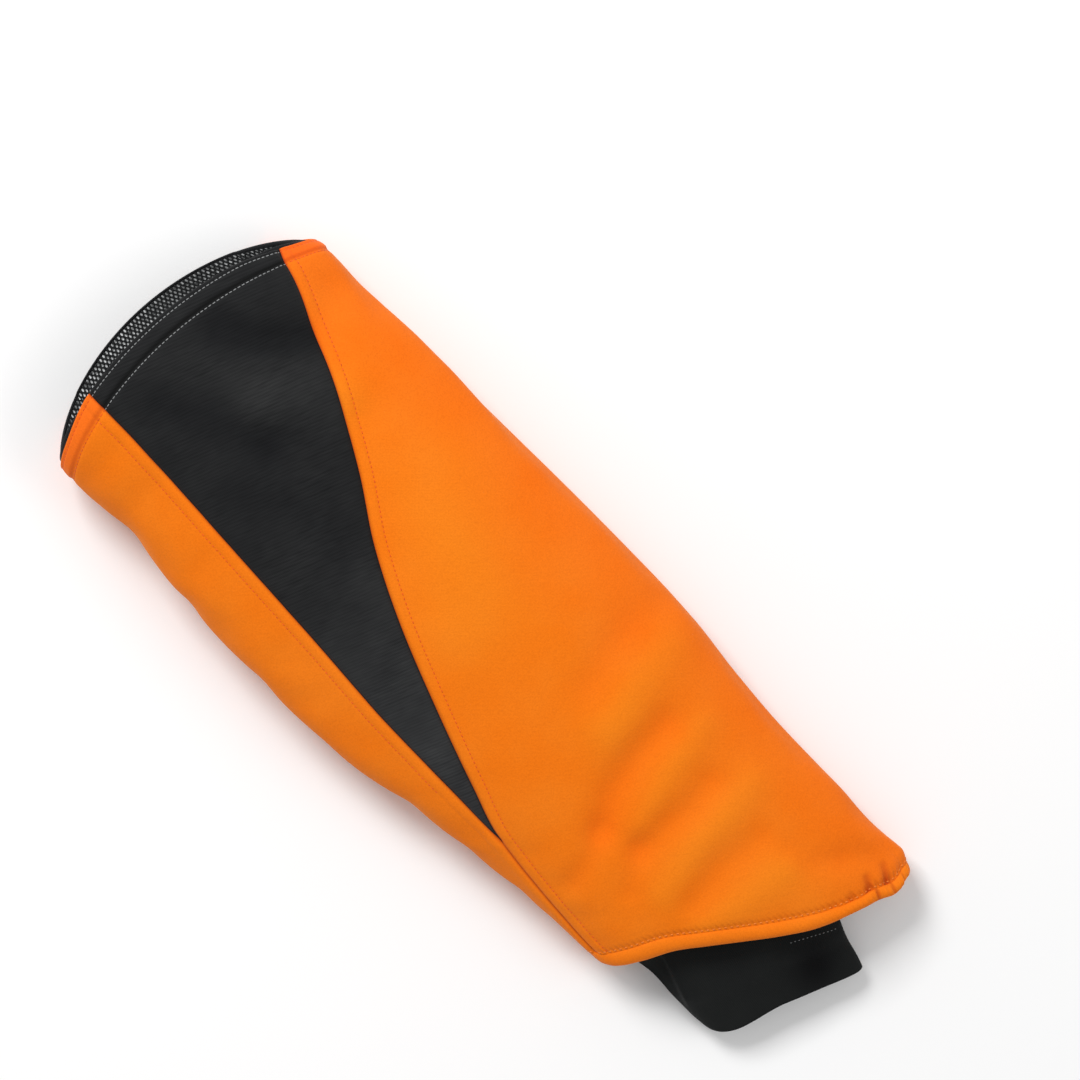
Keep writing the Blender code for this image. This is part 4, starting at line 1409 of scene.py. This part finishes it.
def makeNet():
    # neighbouring strands swing apart round each hole and touch beside it
    perHole = 8
    ring = ringAngles(netCount * perHole)
    steps = int(net["reach"] / net["pitchAlong"] * net["stepsPerHole"])
    along = lining["startFromRim"] + np.arange(steps + 1) / steps * net["reach"]
    lines = []
    for strand in range(2 * netCount):
        swing = np.cos(2 * math.pi * along / net["pitchAlong"]) * (1 if strand % 2 == 0 else -1)
        place = (2 * strand + 1) / 4 + net["swing"] * swing
        at = np.interp(place * perHole, np.arange(len(ring) + 1), np.append(ring, 2 * math.pi))
        share = along / runAt(at)
        depth = fullDepth(share, at) + net["sink"]
        lines.append((insidePoint(share, at, depth), np.zeros((len(at), 3))))
    obj = addPiece("liningNet", guideMesh("liningNet", lines))
    values = {"Radius": net["strand"], "Sides": net["profileSides"], "Strand": netStrand}
    return runTree(obj, makeNetTree(), values)


liningNet = makeNet()
print("net made")


def cuffOnTop(points):
    # drops plan points onto the cuff
    tree = BVHTree.FromObject(knitCuff, bpy.context.evaluated_depsgraph_get())
    found, outs = [], []
    for x, y in points:
        hit = tree.ray_cast(Vector((x + origin[0], y + origin[1], 0.1)), Vector((0, 0, -1)))
        if hit[0] is not None:
            found.append(tuple(hit[0] + Vector((0, 0, stitching["lift"]))))
            outs.append(tuple(hit[1] if hit[1].z > 0 else -hit[1]))
    return np.array(found), np.array(outs)


cuff = {
    "width": 0.097,
    "height": 0.020,
    "reach": 0.0375,
    "length": 0.0545,
    "wall": 0.0020,
    "angle": math.radians(-24),
    "acrossShare": -0.250,
    "skirt": 0.045,
    "gap": 0.0004,
    "power": 2.2,
    "corner": 0.010,
    "cornerPower": 8,
    "rightCorner": 0.0016,
    "rightCornerPower": 22,
    "endHollow": 0.0042,     # the open edge stands back on this side of its middle
    "hollowOver": 0.034,
    # the crease where the slack folds over, and the soft dip beside the far corner, which also carries painted
    # shadow
    "crease": ((0.4180, -0.0500), (0.4560, -0.0634)),
    "creaseStep": 0.0021,
    "creaseWidth": 0.0022,
    "creaseEnds": (0.006, 0.008),
    "creaseRidge": (0.0008, 0.0006, 0.0012),  # height, how far beside the crease, half breadth
    "dip": (0.4860, 0.0040),
    "dipReach": (0.017, 0.0125),
    "dipDepth": 0.0026,
    "room": 0.0030,
    "stitchEnds": ((0.4665, 0.0040), (0.4800, 0.0265)),
    "columns": 260,
    # out as a share of length, left and right of half width, height of height, lift of the rise
    "rings": (
        (0.00, -1.00, 0.970, 1.00, 0.00),
        (0.12, -1.06, 0.960, 1.05, 0.02),
        (0.22, -1.10, 0.945, 1.08, 0.12),
        (0.34, -1.145, 0.922, 1.10, 0.32),
        (0.52, -1.21, 0.905, 1.12, 0.80),
        (0.75, -1.282, 0.905, 1.12, 1.00),
        (0.88, -1.335, 0.905, 1.12, 1.00),
        (1.00, -1.402, 0.905, 1.12, 1.00),
    ),
}


def cuffAxes():
    # out of the sleeve, and across the cuff
    axis = np.array((math.cos(cuff["angle"]), math.sin(cuff["angle"])))
    return axis, np.array((-axis[1], axis[0]))


def cuffSeat():
    # the cuff is sewn just inside the padding
    return form["shellWall"] + form["wallGap"] + form["liningWall"] + cuff["gap"]


def cuffDip(plan):
    axis, side = cuffAxes()
    offset = plan - np.array(cuff["dip"])
    reach = cuff["dipReach"]
    return np.exp(-((offset @ axis / reach[0]) ** 2) - (offset @ side / reach[1]) ** 2)


def cuffRelief(plan):
    first, last = (np.array(place) for place in cuff["crease"])
    length = np.linalg.norm(last - first)
    run = (last - first) / length
    along = (plan - first) @ run
    away = (plan - first) @ np.array((-run[1], run[0]))  # positive towards the middle
    ends = smoothStep(along / cuff["creaseEnds"][0]) * smoothStep((length - along) / cuff["creaseEnds"][1])
    relief = -cuff["creaseStep"] * (1 - smoothStep(away / cuff["creaseWidth"] + 0.5)) * ends
    high, beside, breadth = cuff["creaseRidge"]
    relief = relief + high * np.exp(-((away - beside) / breadth) ** 2) * ends
    return relief - cuff["dipDepth"] * cuffDip(plan)


def cuffRing(out, depth, angles):
    left, right, height, lift = (
        float(smoothCurve([(ring[0], ring[i]) for ring in cuff["rings"]])(out)) for i in (1, 2, 3, 4)
    )
    axis, side = cuffAxes()
    end = np.array((float(wristRim(0.0)) + cuff["reach"], cuff["acrossShare"] * halfWidth))
    across = np.cos(angles)
    leftSide = left * cuff["width"] / 2 + depth
    rightSide = right * cuff["width"] / 2 - depth
    sideways = (leftSide + rightSide) / 2 + (rightSide - leftSide) / 2 * signedPower(across, 2 / cuff["power"])
    corner = cuff["corner"] * np.clip(-across, 0, 1) ** cuff["cornerPower"]
    corner = corner + cuff["rightCorner"] * np.clip(across, 0, 1) ** cuff["rightCornerPower"]
    corner = corner + cuff["endHollow"] * smoothStep(sideways / cuff["hollowOver"] + 1)
    back = out * cuff["length"] + corner * (1 - out)
    tall = height * cuff["height"]
    z = lift * cuffSeat() + tall / 2 + (tall / 2 - depth) * signedPower(np.sin(angles), 2 / cuff["power"])
    plan = end[None, :] - back[:, None] * axis + sideways[:, None] * side
    z = z + cuffRelief(plan) * smoothStep(np.sin(angles) / 0.35)
    return np.column_stack((plan, z)) + origin


def cuffSkirt(depth, angles):
    room = cuff["room"] * np.clip(np.sin(angles), 0, 1)
    return insidePoint(1 - cuff["skirt"] / runAt(angles), angles, cuffSeat() + depth + room)


def makeCuff():
    angles = ringAngles(cuff["columns"])
    rings = []
    for depth, order in ((0.0, -1), (cuff["wall"], 1)):
        skin = [cuffRing(out, depth, angles) for out in np.linspace(0, 1, 40)]
        last, seam = skin[-1], cuffSkirt(depth, angles)
        skin += [last + (seam - last) * t for t in (0.17, 0.33, 0.5, 0.67, 0.83, 1.0)]
        rings += skin[::order]
    mesh = tubeMesh("knitCuff", rings, wrapRings=True)
    # painted shadow where the cuff dips beside the far corner
    setAttribute(mesh, "dipShade", cuffDip(np.concatenate(rings)[:, :2] - origin[:2]))
    return addPiece("knitCuff", mesh, blackKnit)


knitCuff = makeCuff()
print("cuff made")


def makeCuffStitches():
    # the row that joins the cuff's turned edge, just outside the wrist hem
    first, last = np.array(cuff["stitchEnds"])
    line = cuffOnTop(first + (last - first) * np.linspace(0, 1, 40)[:, None])
    return makeStitches("cuffStitches", [line], "cuff", cuffThread)


cuffStitches = makeCuffStitches()

for piece, node, slotName in (
    (mainPanel, "main_panel", "orange_shell"),
    (wedgePanel, "wedge_panel", "black_twill"),
    (underPanel, "under_panel", "orange_shell"),
    (meshLining, "mesh_lining", "mesh_lining"),
    (mouthBinding, "mouth_binding", "black_tape"),
    (wristHem, "wrist_hem", "orange_shell"),
    (knitCuff, "knit_cuff", "black_knit"),
):
    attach(piece, "root")
    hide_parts(node)
for piece, slotName in (
    (mouthStitchesGrey, "black_twill"),
    (mouthStitchesOrange, "orange_shell"),
    (seamStitches, "orange_shell"),
    (hemStitches, "orange_shell"),
    (cuffStitches, "black_knit"),
    (liningNet, "mesh_lining"),
):
    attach(piece, "root")
    print(piece.name, len(piece.data.polygons), "faces")


# how many faces each piece of cloth has
for piece in (mainPanel, wedgePanel, underPanel, mouthBinding, wristHem, knitCuff):
    print(piece.name, len(piece.data.polygons), "faces")

studio = {
    "lens": 135,
    "distance": 2.211,
    "tilt": math.radians(6),        # the camera stands this far towards the mouth
    "target": (0.2096, 0.0640, 0.030),
    "turn": math.radians(44.69),    # from the sleeve's length to the picture's width
    "floorSize": 6.0,
    "world": 0.50,
    # place, size and power of each soft light
    "key": ((-2.6, 0.5, 2.5), 1.3, 95.0),
    "fill": ((1.8, 2.2, 3.2), 2.4, 34.0),
}


def makeCamera():
    back = Vector((-math.sin(studio["tilt"]), 0, math.cos(studio["tilt"])))
    right = Vector((math.cos(studio["turn"]), math.sin(studio["turn"]), 0))
    right = (right - back * right.dot(back)).normalized()
    up = back.cross(right)
    target = Vector(studio["target"]) + Vector(origin)
    data = bpy.data.cameras.new("camera")
    data.lens = studio["lens"]
    data.sensor_width = 36
    camera = bpy.data.objects.new("camera", data)
    bpy.context.scene.collection.objects.link(camera)
    place = Matrix((right, up, back)).transposed().to_4x4()
    place.translation = target + back * studio["distance"]
    camera.matrix_world = place
    bpy.context.scene.camera = camera


def addLight(name, place, target, size, power):
    data = bpy.data.lights.new(name, "AREA")
    data.shape = "SQUARE"
    data.size = size
    data.energy = power
    light = bpy.data.objects.new(name, data)
    bpy.context.scene.collection.objects.link(light)
    light.location = place
    light.rotation_euler = (Vector(target) - Vector(place)).to_track_quat("-Z", "Y").to_euler()


def makeStudio():
    half = studio["floorSize"] / 2
    mesh = bpy.data.meshes.new("floor")
    mesh.from_pydata([(-half, -half, 0), (half, -half, 0), (half, half, 0), (-half, half, 0)], [], [(0, 1, 2, 3)])
    floor = addPiece("floor", mesh, paleFloor)
    bpy.context.scene.view_settings.view_transform = "Standard"
    world = bpy.data.worlds.new("softbox") if not bpy.context.scene.world else bpy.context.scene.world
    bpy.context.scene.world = world
    world.use_nodes = True
    background = world.node_tree.nodes["Background"]
    background.inputs["Color"].default_value = (1, 1, 1, 1)
    background.inputs["Strength"].default_value = studio["world"]
    for name in ("key", "fill"):
        place, size, power = studio[name]
        addLight(name, place, (0, 0, 0), size, power)


makeCamera()
makeStudio()
print("studio made")
